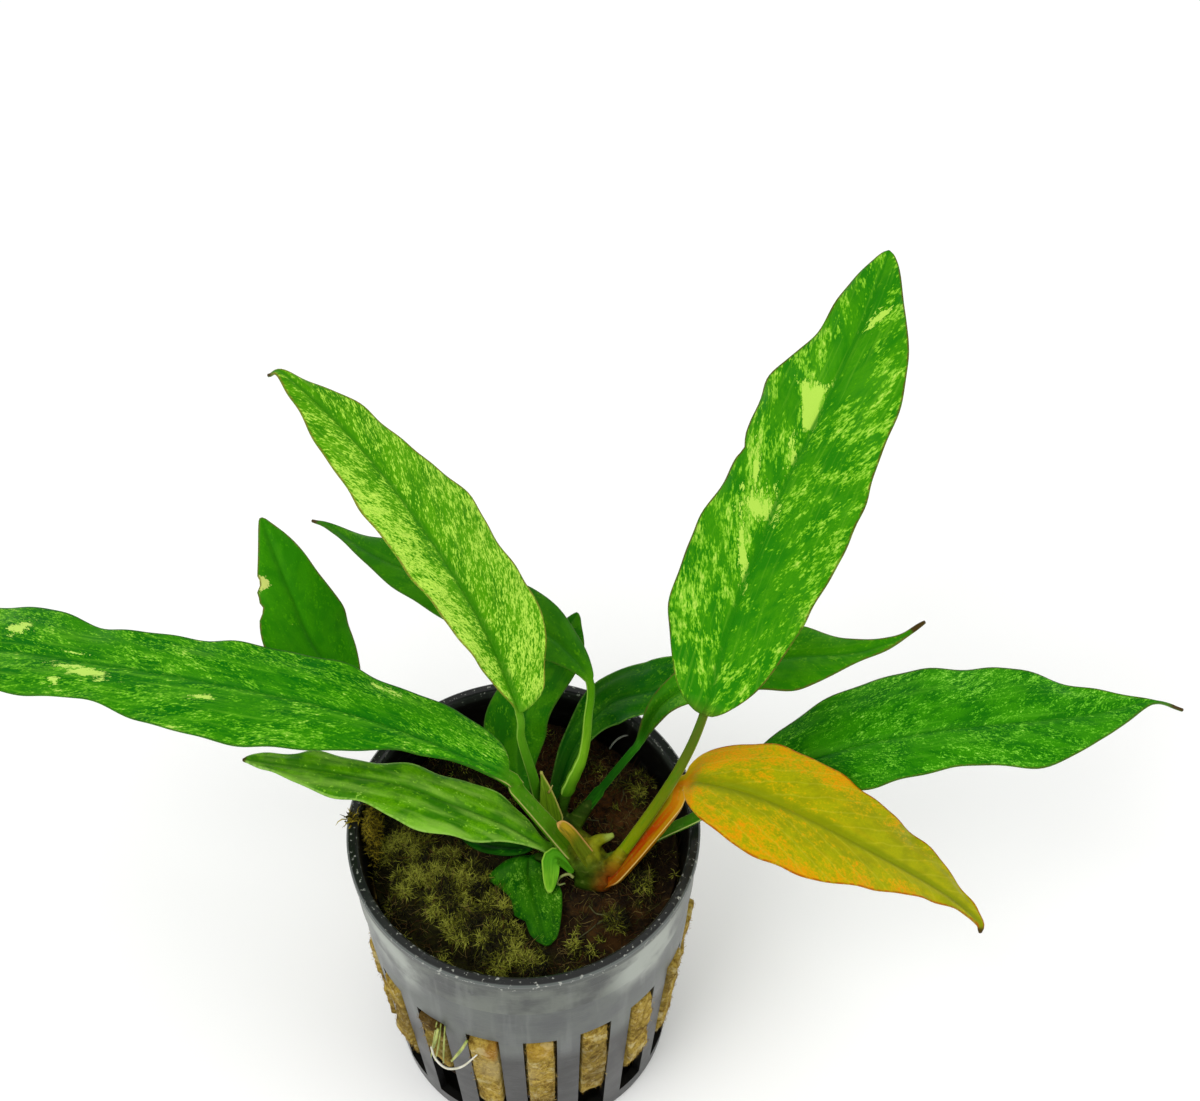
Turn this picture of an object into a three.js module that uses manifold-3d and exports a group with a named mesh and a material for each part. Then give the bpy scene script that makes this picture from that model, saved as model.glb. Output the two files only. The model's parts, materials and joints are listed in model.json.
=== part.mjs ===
// Variegated anubias minima: a creeping water plant on a plug of rock wool in a slotted net pot.
// Millimetres, +Z up. The origin is the middle of the pot's underside, and -Y is the front.

import * as THREE from 'three';
import { mergeVertices } from 'three/addons/utils/BufferGeometryUtils.js';
import Module from 'manifold-3d';

const wasm = await Module();
wasm.setup();

const DEGREE = Math.PI / 180;
const UP = new THREE.Vector3(0, 0, 1);

// Clearance between pieces that touch, and how far a cutter reaches past what it cuts
const GAP = 0.3;
const REACH = 5;

// Corners nearer than this are one corner
const MERGE_DISTANCE = 1e-4;

// Pot: a rim, a plain collar, and a tapered wall with one slot for each rib
const POT_HEIGHT = 56;
const RIM_RADIUS = 25;
const RIM_WIDTH = 1.5;
const RIM_HEIGHT = 1.8;
const COLLAR_RADIUS = 24.5;
const COLLAR_FOOT = 46;
const WALL_TOP_RADIUS = 23.9;
const BASE_RADIUS = 21.4;
const WALL = 1.3;
const FLOOR = 1.6;
const FOOT_CHAMFER = 0.6;
const STEP_SLOPE = 0.5;
const SLOT_COUNT = 18;
const SLOT_TOP = 36.2;
const SLOT_FOOT = 4;
const SLOT_ANGLE = 11.7 * DEGREE;
const SLOT_START = 5.5 * DEGREE;
const DRAIN_COUNT = 8;
const DRAIN_INNER = 8;
const DRAIN_OUTER = 17;
const DRAIN_WIDTH = 3;

// Rock wool: a plug that fills the pot and swells out through the slots. Its top is lumpy, on rings
// that lie these distances in from its side, and the pads in the slots end at uneven heights.
const WOOL_TOP = 49.2;
const WOOL_FOOT = 10;
const WOOL_EDGE = 0.6;
const WOOL_RINGS = [2, 8, 15];
const WOOL_LUMP = 0.4;
const WOOL_WAVE_X = 0.35;
const WOOL_WAVE_Y = 0.31;
const PAD_FOOT = 11;
const PAD_UNEVEN = 1;
const PAD_SWELL = 0.7;
const PAD_BEVEL = 1.2;

// Every leaf, stem and root is a row of rings along a curve
const RING_POINTS = 10;
const CURVE_PARTS = 400;
const PETIOLE_STEP = 5;
const RINGS_PER_ROPE_POINT = 2;

// Leaf blades: each half rises from the midrib by CUP and bends down again by DROOP, as shares of
// its half-width, and the rib under the midrib loses RIB_TAPER of its depth on the way to the tip
const EDGE_THICKNESS = 0.45;
const BLADE_THICKNESS = 0.55;
const CUP = 0.22;
const DROOP = 0.2;
const RIB_TAPER = 0.7;
const TIP_HALF_WIDTH = 0.2;

// A leaf is a petiole and the midrib that goes on from it, both as points. left and right are the
// blade's half-widths from base to tip, close together at both ends. stub is how much of the
// petiole is grown into the rhizome's own piece.
const LEAVES = {
  leaf_tall: {
    colour: 0x4a9c22,
    petiole: [[11.5, -4.9, 52], [15.8, -1.5, 61.5], [20.5, 0, 72]],
    midrib: [[24.6, 2.6, 80], [28.4, 10.8, 92], [34.2, 19.5, 106], [40, 26.6, 117],
      [44.6, 34.8, 123], [47.6, 42.4, 126]],
    left: [3.8, 6.3, 8.8, 9, 7.6, 8.5, 5, 3.7, 1.5],
    right: [3, 6.4, 8.7, 10.2, 11, 9.7, 7.6, 3.9, 1.7],
    radius: [1.1, 0.85],
    stub: 8,
  },
  leaf_upper_left: {
    colour: 0x8fbf3c,
    petiole: [[2.6, 4.2, 52], [1.4, 4.5, 62], [0.2, 4.6, 71]],
    midrib: [[0.7, 5.4, 76], [-3.6, 10.4, 86], [-9.4, 15.2, 97], [-15.9, 20.3, 106],
      [-22.3, 25.2, 112], [-29.3, 30.2, 116], [-31.7, 31.1, 115]],
    left: [1.2, 2.4, 3.9, 5.1, 5.7, 5.6, 4.3, 2.2, 0.5],
    right: [2.8, 5.2, 7.9, 7.8, 8.1, 5.5, 4.1, 1.6, 0.3],
    radius: [1.1, 0.8],
    stub: 3.5,
  },
  leaf_long_left: {
    colour: 0x2f8420,
    petiole: [[9.1, -4.4, 51.5], [4.6, -1.9, 57], [-0.3, 0.1, 64.5]],
    midrib: [[-2, 1.1, 67], [-12.3, 2.9, 73], [-22.7, 4.1, 78], [-34.7, 6.1, 80],
      [-47.1, 8.9, 80], [-60, 11.9, 79], [-71.9, 15.2, 77], [-86.9, 19, 73]],
    left: [1.2, 1.6, 4.3, 8.2, 8.7, 6.2, 7, 5, 1.8],
    right: [3.4, 5.8, 6.4, 7.3, 6.6, 5.9, 7.7, 6.4, 2],
    radius: [1.3, 0.9],
    stub: 4,
  },
  leaf_lower_left: {
    colour: 0x3f8f2a,
    petiole: [[6.8, -2.2, 51.2], [4.6, -2, 52.6]],
    midrib: [[3, -2.3, 53.9], [-3.2, -0.8, 58], [-10.1, 0.5, 61], [-17.1, 2.2, 63],
      [-28.3, 4, 64], [-39.6, 7, 62]],
    left: [1, 2.2, 4.6, 5.6, 4.2, 3.2, 1.5, 0.5],
    right: [1.3, 3.2, 4.2, 3.8, 2.9, 2.8, 2.2, 1.2],
    radius: [1.1, 0.9],
    stub: 3,
  },
  leaf_yellow: {
    colour: 0xd9b216,
    petiole: [[12.2, -6.3, 52], [17.1, -2.8, 58.5], [20.3, -0.4, 64.5]],
    midrib: [[22.4, 0.2, 67], [29.7, -2.7, 69.5], [37.7, -6.1, 69], [47.1, -9.6, 65.5],
      [57.2, -12.1, 59], [62.6, -13.8, 54], [63.3, -15.1, 52.5]],
    left: [4.7, 7.2, 8.7, 8.3, 6.9, 4.9, 2.2, 0.8],
    right: [3.5, 6.4, 8.8, 8.6, 5.5, 2.8, 1.2, 0.5],
    radius: [1.25, 1],
    stub: 8,
  },
  leaf_long_right: {
    colour: 0x2a7d1e,
    petiole: [[10.5, -4.1, 51], [14.5, -2.5, 52.7], [18.6, -1.2, 55], [24.4, 0, 58.3]],
    midrib: [[29.8, 2.9, 60], [38.9, 6, 62.5], [47.1, 6.9, 66], [57.7, 6.7, 70],
      [68.3, 6.4, 72.5], [77.9, 7.3, 73], [86.6, 9.3, 72.5], [91.7, 10.7, 70]],
    left: [2.3, 5, 7.8, 10.2, 9.8, 8.2, 4, 0.9, 0.4],
    right: [2.4, 4.9, 6.5, 7.5, 6.3, 7.6, 4.1, 1, 0.3],
    radius: [1, 0.8],
    stub: 5,
  },
  leaf_twisted: {
    colour: 0x33771f,
    petiole: [[6.8, 2.4, 52], [10.8, 5.1, 57], [15.3, 7.7, 63]],
    midrib: [[16.2, 8.4, 64], [19.5, 12.6, 68], [27.6, 15.4, 72], [37.3, 16.2, 74],
      [45.5, 16.2, 75], [51.5, 17.5, 76], [56.1, 20.1, 77]],
    left: [1.2, 1.8, 2.7, 4.2, 5.5, 3.5, 1, 0.5],
    right: [1.2, 2.4, 3.7, 4.1, 5.8, 3.1, 0.8, 0.4],
    radius: [1.1, 0.9],
    stub: 3,
  },
  leaf_back_right: {
    colour: 0x4e9a2d,
    petiole: [[4.4, 4.8, 51.5]],
    midrib: [[4.4, 6.4, 53], [7, 13.1, 56.5], [12, 17.4, 60.5], [18.7, 17.6, 64],
      [25.1, 18.8, 66], [31.6, 21.6, 67]],
    left: [1.2, 1.6, 2.7, 5.2, 4.7, 3.9, 1.8],
    right: [1.2, 1.6, 2.4, 4.3, 3.2, 2, 0.9],
    radius: [1, 0.9],
    stub: 2,
  },
  leaf_arched: {
    colour: 0x3c8b24,
    petiole: [[4.5, 3.5, 52], [6.5, 5.6, 57.5], [8.4, 8.1, 61.5], [9.1, 10.7, 67]],
    midrib: [[9.3, 13.7, 72], [5.5, 16.8, 76], [-0.3, 19.3, 79], [-10, 23, 81],
      [-20.3, 27.8, 82], [-27.2, 33.7, 81], [-30.4, 35.9, 80]],
    left: [1.2, 3, 5.6, 5.5, 4.2, 1.9, 0.7, 0.3],
    right: [1.3, 3, 5.1, 5.2, 4.1, 3, 1, 0.4],
    radius: [1.2, 0.8],
    stub: 3.5,
  },
  leaf_back_centre: {
    colour: 0x4b962c,
    petiole: [[2.4, 5.4, 51]],
    midrib: [[-0.1, 6.1, 54.3], [-0.7, 12.3, 59], [0.5, 15.8, 64], [3.9, 21, 69], [7.6, 25.8, 71.5]],
    left: [1.2, 3, 5.4, 4.8, 3.8, 2.1, 0.8],
    right: [1.2, 2.2, 3.7, 3.9, 4.9, 4.2, 1.5],
    radius: [1, 0.9],
    stub: 3,
  },
  leaf_back_left: {
    colour: 0x3f8a28,
    petiole: [[1.6, 7, 50.4], [-5, 11.4, 52.6], [-15.3, 14.7, 58.5]],
    midrib: [[-21.6, 14.8, 60.5], [-29.7, 21.8, 68], [-33.4, 27.2, 75], [-37.4, 34.8, 82]],
    left: [1.4, 3.8, 6.4, 6.6, 4.7, 2.4, 0.9],
    right: [1.2, 2.3, 5.1, 6.3, 4.8, 3.3, 1.2],
    radius: [1, 0.8],
    stub: 3,
  },
  leaf_small_front: {
    colour: 0x256e1a,
    petiole: [[5.6, -2.4, 50.6]],
    midrib: [[0.8, -2.9, 50.8], [1.7, -9.3, 50.6], [3.6, -15.9, 50.3]],
    left: [2.6, 3.2, 3.8, 3.6, 3.1, 2.4, 1.4],
    right: [2.8, 5.8, 3.5, 3.1, 2.4, 1.6, 0.8],
    radius: [0.8, 0.6],
    stub: 1.8,
  },
  leaf_small_left: {
    colour: 0x2c6f22,
    petiole: [[3.9, 0.7, 51.7]],
    midrib: [[1.4, -0.8, 52.3], [-0.6, -1.8, 52.9], [-4.8, -1.5, 53], [-8.9, 0, 52.8]],
    left: [0.8, 1.3, 1.5, 1.3, 0.7],
    right: [0.8, 1.2, 1.3, 1.2, 0.6],
    radius: [0.7, 0.5],
    stub: 1.5,
  },
};

// Sheaths are blades with no petiole, folded round the bases of the leaves.
const SHEATHS = {
  bract_curled: {
    colour: 0x6fc13a,
    midrib: [[5.6, -5.2, 51.9], [4.6, -4.5, 52.7], [3.6, -4.9, 53], [3, -6.2, 52.9], [3.4, -8.4, 52.5]],
    left: [1, 1.3, 1, 0.8],
    right: [0.5, 0.6, 0.8, 0.8],
    radius: [0.5, 0.5],
  },
  sheath_pale: {
    colour: 0xa9b84a,
    midrib: [[4.8, 1.4, 54], [4.3, 3, 56.5], [3.9, 4.5, 59], [3.2, 5.9, 61.2]],
    left: [0.7, 0.8, 0.7, 0.4],
    right: [0.7, 0.8, 0.7, 0.4],
    radius: [0.5, 0.3],
  },
  sheath_orange: {
    colour: 0xc99a35,
    midrib: [[9.7, -4, 55], [7.7, -3.1, 57], [6.1, -2.5, 59], [4.5, -1.9, 60.5]],
    left: [0.8, 0.9, 0.9, 0.6],
    right: [0.8, 0.9, 0.9, 0.6],
    radius: [0.5, 0.4],
  },
};

// Rhizome: a short creeping stem, half sunk in the wool, with one bud
const RHIZOME = {
  points: [[11, -6.6, 50], [10.3, -5, 50.3], [8.6, -2.6, 50.8], [6.2, 0, 51], [3.9, 3.3, 50.8],
    [1.8, 6.8, 50.2]],
  radii: [1.6, 3, 3.1, 2.6, 2.6, 1.8],
};
const BUD = { points: [[10.4, -2.2, 52], [11.6, -1.2, 53], [12.7, -0.7, 53.4]], radii: [0.9, 0.9, 0.5] };

// Roots that have grown out through a slot and hang down the pot
const ROOTS = {
  root_left: {
    colour: 0x8c9a4a,
    points: [[-12.3, -21.4, 35.6], [-12.8, -21.6, 32.6], [-13.8, -20.6, 26.7]],
    radii: [0.3, 0.35, 0.25],
  },
  root_middle: {
    colour: 0x8c9a4a,
    points: [[-8.1, -23.3, 35.8], [-9, -23.3, 33], [-10.8, -22.4, 27.1]],
    radii: [0.3, 0.35, 0.25],
  },
  root_white: {
    colour: 0xe8e4d0,
    points: [[-13.5, -22.3, 31.5], [-13.1, -22.2, 27.3], [-11.5, -23.1, 26.2], [-9.1, -24.3, 29.4],
      [-6.7, -24.6, 34]],
    radii: [0.25, 0.25, 0.25, 0.25, 0.2],
  },
};

const POT_LOOK = { colour: 0x2b2e31, roughness: 0.35 };
const WOOL_LOOK = { colour: 0x8a7a35, roughness: 1 };
const RHIZOME_LOOK = { colour: 0x3f5a1e, roughness: 0.6 };
const LEAF_ROUGHNESS = 0.35;
const SHEATH_ROUGHNESS = 0.5;
const ROOT_ROUGHNESS = 0.7;

function solid(geometry) {
  // Only position is kept, so shared corners merge; slivers with two corners alike are dropped.
  geometry.deleteAttribute('normal');
  geometry.deleteAttribute('uv');
  const merged = mergeVertices(geometry, MERGE_DISTANCE);
  const kept = [];
  for (let i = 0; i < merged.index.count; i += 3) {
    const [a, b, c] = [0, 1, 2].map((k) => merged.index.getX(i + k));
    if (a !== b && b !== c && c !== a) {
      kept.push(a, b, c);
    }
  }
  return new wasm.Manifold(new wasm.Mesh({
    numProp: 3,
    vertProperties: new Float32Array(merged.attributes.position.array),
    triVerts: new Uint32Array(kept),
  }));
}

function geometryOf(manifold) {
  const mesh = manifold.getMesh();
  const geometry = new THREE.BufferGeometry();
  geometry.setAttribute('position', new THREE.BufferAttribute(new Float32Array(mesh.vertProperties), 3));
  geometry.setIndex(new THREE.BufferAttribute(new Uint32Array(mesh.triVerts), 1));
  geometry.computeVertexNormals();
  return geometry;
}

function loft(rings) {
  // A closed skin over rings that run counterclockwise about the way they follow each other.
  const size = rings[0].length;
  const corners = rings.flat();
  const middle = (ring) => ring.reduce((sum, p) => sum.add(p), new THREE.Vector3()).divideScalar(size);
  corners.push(middle(rings[0]), middle(rings.at(-1)));
  const first = corners.length - 2;
  const last = corners.length - 1;
  const end = (rings.length - 1) * size;
  const index = [];
  for (let j = 0; j < size; j += 1) {
    const k = (j + 1) % size;
    for (let i = 0; i < end; i += size) {
      index.push(i + j, i + k, i + size + k);
      index.push(i + j, i + size + k, i + size + j);
    }
    index.push(first, k, j);
    index.push(last, end + j, end + k);
  }
  const geometry = new THREE.BufferGeometry().setFromPoints(corners);
  geometry.setIndex(index);
  return geometry;
}

function curveThrough(points) {
  const places = points.map((p) => new THREE.Vector3(...p));
  const curve = new THREE.CatmullRomCurve3(places, false, 'catmullrom', 0.5);
  curve.arcLengthDivisions = CURVE_PARTS;
  return curve;
}

function smooth(values, t) {
  // A curve through evenly spaced values, read at t from 0 to 1.
  const at = t * (values.length - 1);
  const i = Math.min(Math.floor(at), values.length - 2);
  const f = at - i;
  const v = (k) => values[Math.max(0, Math.min(values.length - 1, k))];
  const slope0 = (v(i + 1) - v(i - 1)) / 2;
  const slope1 = (v(i + 2) - v(i)) / 2;
  const rise = v(i + 1) - v(i);
  return v(i) + f * (slope0 + f * (3 * rise - 2 * slope0 - slope1 + f * (slope0 + slope1 - 2 * rise)));
}

function roundRing(centre, side, normal, radius) {
  const ring = [];
  for (let k = 0; k < RING_POINTS; k += 1) {
    const angle = (k + 0.5) * 2 * Math.PI / RING_POINTS;
    ring.push(centre.clone()
      .addScaledVector(side, radius * Math.cos(angle))
      .addScaledVector(normal, radius * Math.sin(angle)));
  }
  return ring;
}

function bladeRing(centre, side, normal, left, right, rib) {
  // Five points across the top from left to right, then five back along the underside.
  const across = [1, 0.5, 0, -0.5, -1];
  const place = (u, face) => {
    const width = u > 0 ? left : right;
    const lift = width * (CUP * Math.abs(u) - DROOP * u * u);
    const half = Math.abs(u) === 1 ? EDGE_THICKNESS / 2 : BLADE_THICKNESS / 2;
    const rise = face > 0 || u !== 0 ? face * half : -rib;
    return centre.clone().addScaledVector(side, u * width).addScaledVector(normal, lift + rise);
  };
  return [...across.map((u) => place(u, 1)), ...across.toReversed().map((u) => place(u, -1))];
}

function shapeOf(leaf) {
  // The leaf's curve, with the distances along it at which the blade starts and the leaf ends
  const petiole = leaf.petiole ?? [];
  const points = [...petiole, ...leaf.midrib];
  const curve = curveThrough(points);
  const lengths = curve.getLengths();
  const bladeStart = lengths[Math.round(CURVE_PARTS * petiole.length / (points.length - 1))];
  return { curve, bladeStart, total: lengths.at(-1) };
}

function stationsBetween(leaf, from, to) {
  // Evenly spaced places along the petiole, then one for each of the blade's half-widths
  const { bladeStart, total } = shapeOf(leaf);
  const petioleEnd = Math.min(bladeStart, to);
  const steps = Math.max(1, Math.round((petioleEnd - from) / PETIOLE_STEP));
  const stations = bladeStart === 0 ? [{ distance: 0 }] : [];
  for (let i = 0; i <= steps && bladeStart > 0; i += 1) {
    stations.push({ distance: from + (petioleEnd - from) * i / steps });
  }
  const last = leaf.left.length + 1;
  for (let k = 1; k <= last && to > bladeStart; k += 1) {
    const along = (1 - Math.cos(Math.PI * k / last)) / 2;
    const left = leaf.left[k - 1] ?? TIP_HALF_WIDTH;
    const right = leaf.right[k - 1] ?? TIP_HALF_WIDTH;
    stations.push({ distance: bladeStart + (total - bladeStart) * along, blade: k / last, left, right });
  }
  return stations;
}

function leafSolid(leaf, from = 0, to = Infinity, extra = 0) {
  // A leaf, or the stretch of it between two distances. The blade's sides lie level, and the
  // petiole takes its own sides from the blade's, so that it isn't twisted.
  const { curve, bladeStart, total } = shapeOf(leaf);
  const [thick, thin] = leaf.radius;
  const rings = [];
  const side = new THREE.Vector3();
  for (const station of stationsBetween(leaf, from, to).toReversed()) {
    const at = Math.min(1, station.distance / total);
    const centre = curve.getPointAt(at);
    const along = curve.getTangentAt(at);
    if (rings.length === 0 || station.distance >= bladeStart) {
      side.crossVectors(UP, curve.getTangentAt(Math.max(at, bladeStart / total)));
    }
    side.addScaledVector(along, -side.dot(along)).normalize();
    const normal = new THREE.Vector3().crossVectors(along, side);
    const radius = THREE.MathUtils.lerp(thick, thin, Math.min(1, station.distance / Math.max(bladeStart, 1)));
    if (station.blade === undefined) {
      rings.unshift(roundRing(centre, side, normal, radius + extra));
    } else {
      const rib = radius * (1 - RIB_TAPER * station.blade);
      rings.unshift(bladeRing(centre, side, normal, station.left, station.right, rib));
    }
  }
  return solid(loft(rings));
}

function rope(points, radii, extra = 0) {
  // A round stem through points, as thick as radii say at each of them
  const curve = curveThrough(points);
  const rings = [];
  const steps = (points.length - 1) * RINGS_PER_ROPE_POINT;
  const side = new THREE.Vector3().crossVectors(UP, curve.getTangent(0));
  for (let i = 0; i <= steps; i += 1) {
    const along = curve.getTangent(i / steps);
    side.addScaledVector(along, -side.dot(along)).normalize();
    const normal = new THREE.Vector3().crossVectors(along, side);
    const past = (i === steps) - (i === 0);
    const centre = curve.getPoint(i / steps).addScaledVector(along, past * extra);
    rings.push(roundRing(centre, side, normal, smooth(radii, i / steps) + extra));
  }
  return solid(loft(rings));
}

function rhizomeSolid(extra = 0) {
  let body = rope(RHIZOME.points, RHIZOME.radii, extra).add(rope(BUD.points, BUD.radii, extra));
  for (const leaf of Object.values(LEAVES)) {
    body = body.add(leafSolid(leaf, 0, leaf.stub + extra, extra));
  }
  return body;
}

function wallRadius(z) {
  return BASE_RADIUS + (WALL_TOP_RADIUS - BASE_RADIUS) * z / SLOT_TOP;
}

function slotAngle(i) {
  return SLOT_START + i * 2 * Math.PI / SLOT_COUNT;
}

function turned(profile) {
  // Two facets for each slot, with an edge down the middle of every slot and every rib
  const points = profile.map(([r, z]) => new THREE.Vector2(r, z));
  return new THREE.LatheGeometry(points, 2 * SLOT_COUNT, SLOT_START).rotateX(Math.PI / 2);
}

function slotCutter(angle) {
  const corner = (r, a) => new THREE.Vector2(r * Math.sin(a), -r * Math.cos(a));
  const inside = BASE_RADIUS - REACH;
  const outside = RIM_RADIUS + REACH;
  const outline = new THREE.Shape([
    corner(inside, angle - SLOT_ANGLE / 2),
    corner(outside, angle - SLOT_ANGLE / 2),
    corner(outside, angle + SLOT_ANGLE / 2),
    corner(inside, angle + SLOT_ANGLE / 2),
  ]);
  const cutter = new THREE.ExtrudeGeometry(outline, { depth: SLOT_TOP - SLOT_FOOT, bevelEnabled: false });
  return cutter.translate(0, 0, SLOT_FOOT);
}

function potSolid() {
  const inner = RIM_RADIUS - RIM_WIDTH;
  let pot = solid(turned([
    [0, 0],
    [BASE_RADIUS - FOOT_CHAMFER, 0],
    [BASE_RADIUS, FOOT_CHAMFER],
    [WALL_TOP_RADIUS, SLOT_TOP],
    [WALL_TOP_RADIUS, COLLAR_FOOT],
    [COLLAR_RADIUS, COLLAR_FOOT + STEP_SLOPE],
    [COLLAR_RADIUS, POT_HEIGHT - RIM_HEIGHT],
    [RIM_RADIUS, POT_HEIGHT - RIM_HEIGHT + STEP_SLOPE],
    [RIM_RADIUS, POT_HEIGHT],
    [inner, POT_HEIGHT],
    [WALL_TOP_RADIUS - WALL, COLLAR_FOOT],
    [WALL_TOP_RADIUS - WALL, SLOT_TOP],
    [wallRadius(FLOOR) - WALL, FLOOR],
    [0, FLOOR],
  ]));
  for (let i = 0; i < SLOT_COUNT; i += 1) {
    pot = pot.subtract(solid(slotCutter(slotAngle(i))));
  }
  for (let i = 0; i < DRAIN_COUNT; i += 1) {
    const drain = new THREE.BoxGeometry(DRAIN_OUTER - DRAIN_INNER, DRAIN_WIDTH, 2 * REACH);
    drain.translate((DRAIN_OUTER + DRAIN_INNER) / 2, 0, 0).rotateZ(i * 2 * Math.PI / DRAIN_COUNT);
    pot = pot.subtract(solid(drain));
  }
  return pot;
}

function woolPad(angle, foot) {
  // The wool that swells out through one slot
  const outward = new THREE.Vector3(Math.sin(angle), -Math.cos(angle), 0);
  const across = new THREE.Vector3(Math.cos(angle), Math.sin(angle), 0);
  const top = SLOT_TOP - GAP;
  const ring = (depth, inset) => {
    const heights = [foot + inset, (foot + top) / 2, top - inset];
    const place = (sign) => (z) => {
      const half = (wallRadius(z) - WALL) * Math.sin(SLOT_ANGLE / 2) - GAP - inset / 2;
      return across.clone().multiplyScalar(sign * half)
        .addScaledVector(outward, wallRadius(z) + depth)
        .setZ(z);
    };
    return [...heights.map(place(1)), ...heights.toReversed().map(place(-1))];
  };
  return loft([ring(-REACH, 0), ring(0, 0), ring(PAD_SWELL, PAD_BEVEL)]);
}

function woolBlock() {
  const side = WALL_TOP_RADIUS - WALL - GAP;
  const block = turned([
    [0, WOOL_FOOT],
    [wallRadius(WOOL_FOOT) - WALL - GAP, WOOL_FOOT],
    [side, SLOT_TOP],
    [side, COLLAR_FOOT],
    [side, WOOL_TOP - WOOL_EDGE],
    ...WOOL_RINGS.map((inward) => [side - inward, WOOL_TOP]),
    [0, WOOL_TOP],
  ]);
  const place = block.attributes.position;
  const lumpsAbove = (COLLAR_FOOT + WOOL_TOP) / 2;
  for (let i = 0; i < place.count; i += 1) {
    if (place.getZ(i) > lumpsAbove) {
      const lump = Math.sin(WOOL_WAVE_X * place.getX(i) + 1) * Math.cos(WOOL_WAVE_Y * place.getY(i));
      place.setZ(i, place.getZ(i) + WOOL_LUMP * lump);
    }
  }
  return solid(block);
}

function woolSolid() {
  let wool = woolBlock();
  for (let i = 0; i < SLOT_COUNT; i += 1) {
    const foot = PAD_FOOT + PAD_UNEVEN * Math.sin(3 * i);
    wool = wool.add(solid(woolPad(slotAngle(i), foot)));
  }
  return wool.subtract(rhizomeSolid(GAP));
}

const object = new THREE.Group();

function piece(name, manifold, look) {
  const { colour, roughness } = look;
  const material = new THREE.MeshStandardMaterial({ color: colour, roughness, metalness: 0 });
  const mesh = new THREE.Mesh(geometryOf(manifold), material);
  mesh.name = name;
  object.add(mesh);
}

piece('pot', potSolid(), POT_LOOK);
piece('rock_wool', woolSolid(), WOOL_LOOK);
piece('rhizome', rhizomeSolid(), RHIZOME_LOOK);
for (const [name, leaf] of Object.entries(LEAVES)) {
  const look = { colour: leaf.colour, roughness: LEAF_ROUGHNESS };
  piece(name, leafSolid(leaf, leaf.stub + GAP), look);
}
for (const [name, sheath] of Object.entries(SHEATHS)) {
  piece(name, leafSolid(sheath), { colour: sheath.colour, roughness: SHEATH_ROUGHNESS });
}
for (const [name, root] of Object.entries(ROOTS)) {
  piece(name, rope(root.points, root.radii), { colour: root.colour, roughness: ROOT_ROUGHNESS });
}

export default object;
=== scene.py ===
import functools
import json
import math

import bpy
import numpy as np
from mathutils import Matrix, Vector


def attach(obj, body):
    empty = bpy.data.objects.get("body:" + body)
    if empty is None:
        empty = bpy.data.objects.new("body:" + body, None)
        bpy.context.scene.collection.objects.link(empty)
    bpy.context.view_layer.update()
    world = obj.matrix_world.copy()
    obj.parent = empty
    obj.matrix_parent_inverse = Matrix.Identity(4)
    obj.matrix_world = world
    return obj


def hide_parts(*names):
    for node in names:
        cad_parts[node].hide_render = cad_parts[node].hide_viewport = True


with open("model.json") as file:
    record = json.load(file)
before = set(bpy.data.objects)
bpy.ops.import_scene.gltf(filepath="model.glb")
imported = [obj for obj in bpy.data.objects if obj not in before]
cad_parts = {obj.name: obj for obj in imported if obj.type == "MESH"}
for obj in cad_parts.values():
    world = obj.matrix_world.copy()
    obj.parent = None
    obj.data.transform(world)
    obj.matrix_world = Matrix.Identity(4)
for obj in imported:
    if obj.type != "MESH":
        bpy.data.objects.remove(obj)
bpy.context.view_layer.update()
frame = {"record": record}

# Lengths are written in millimetres and turned into metres when a mesh is made
MM = 0.001
SEED = 41
RNG = np.random.default_rng(SEED)

# Camera: the photo's place and angle, worked out from the pot's rim and slots
PHOTO_WIDTH = 1200
FOCAL_PIXELS = 2000
SENSOR_WIDTH = 36
CAMERA_PLACE = (10.792, -146.794, 300.594)
CAMERA_PITCH = 51.221

# Pot
POT_HEIGHT = 56
RIM_RADIUS = 25
RIM_WIDTH = 1.5
RIM_FOOT = 54.4
RIM_ROUND = 0.3
COLLAR_RADIUS = 24.5
COLLAR_FOOT = 46
STEP_SLOPE = 0.5
# The collar's outer side above its step, with the groove under the rim: extra radius and height
COLLAR_SIDE = [(-0.05, 51.2), (0.15, 51.5), (0.1, 53.8), (-0.2, 53.95), (-0.2, 54.2)]
WALL_TOP_RADIUS = 23.9
# Above the slots the wall is a little thicker: how much, and from how far above them
WALL_BAND = (0.12, 3.5)
BASE_RADIUS = 21.4
WALL = 1.3
FLOOR = 1.6
FOOT_CHAMFER = 0.6
SLOT_COUNT = 18
SLOT_PITCH = 2 * math.pi / SLOT_COUNT
SLOT_TOP = 36.2
SLOT_FOOT = 4
SLOT_ANGLE = math.radians(11.7)
SLOT_START = math.radians(5.5)
SLOT_COLUMNS = 5
RIB_COLUMNS = 4
SLOT_ROWS = 8
DRAIN_COUNT = 8
DRAIN_INNER = 8
DRAIN_OUTER = 17
DRAIN_WIDTH = 3
EDGE_BEVEL = 0.22
BEVEL_ANGLE = math.radians(32)
WELD_GAP = 0.01

# Rock wool. Its rows are the rings of its foot, side and top, and its golden side turns into the
# dark top between two heights
WOOL_TOP = 49.2
WOOL_FOOT = 10
WOOL_GAP = 0.3
WOOL_SWELL = 1
WOOL_ROWS = (12, 96, 90)
WOOL_TURN = (43, 47)
# Below the roots the wool is hollow: the angle round the pot, the height, the depth and how far it
# reaches round and up
HOLLOW_TURN, HOLLOW_HEIGHT, HOLLOW_DEPTH = -0.6, 12.5, 2.8
HOLLOW_REACH = (0.16, 5.5)

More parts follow.
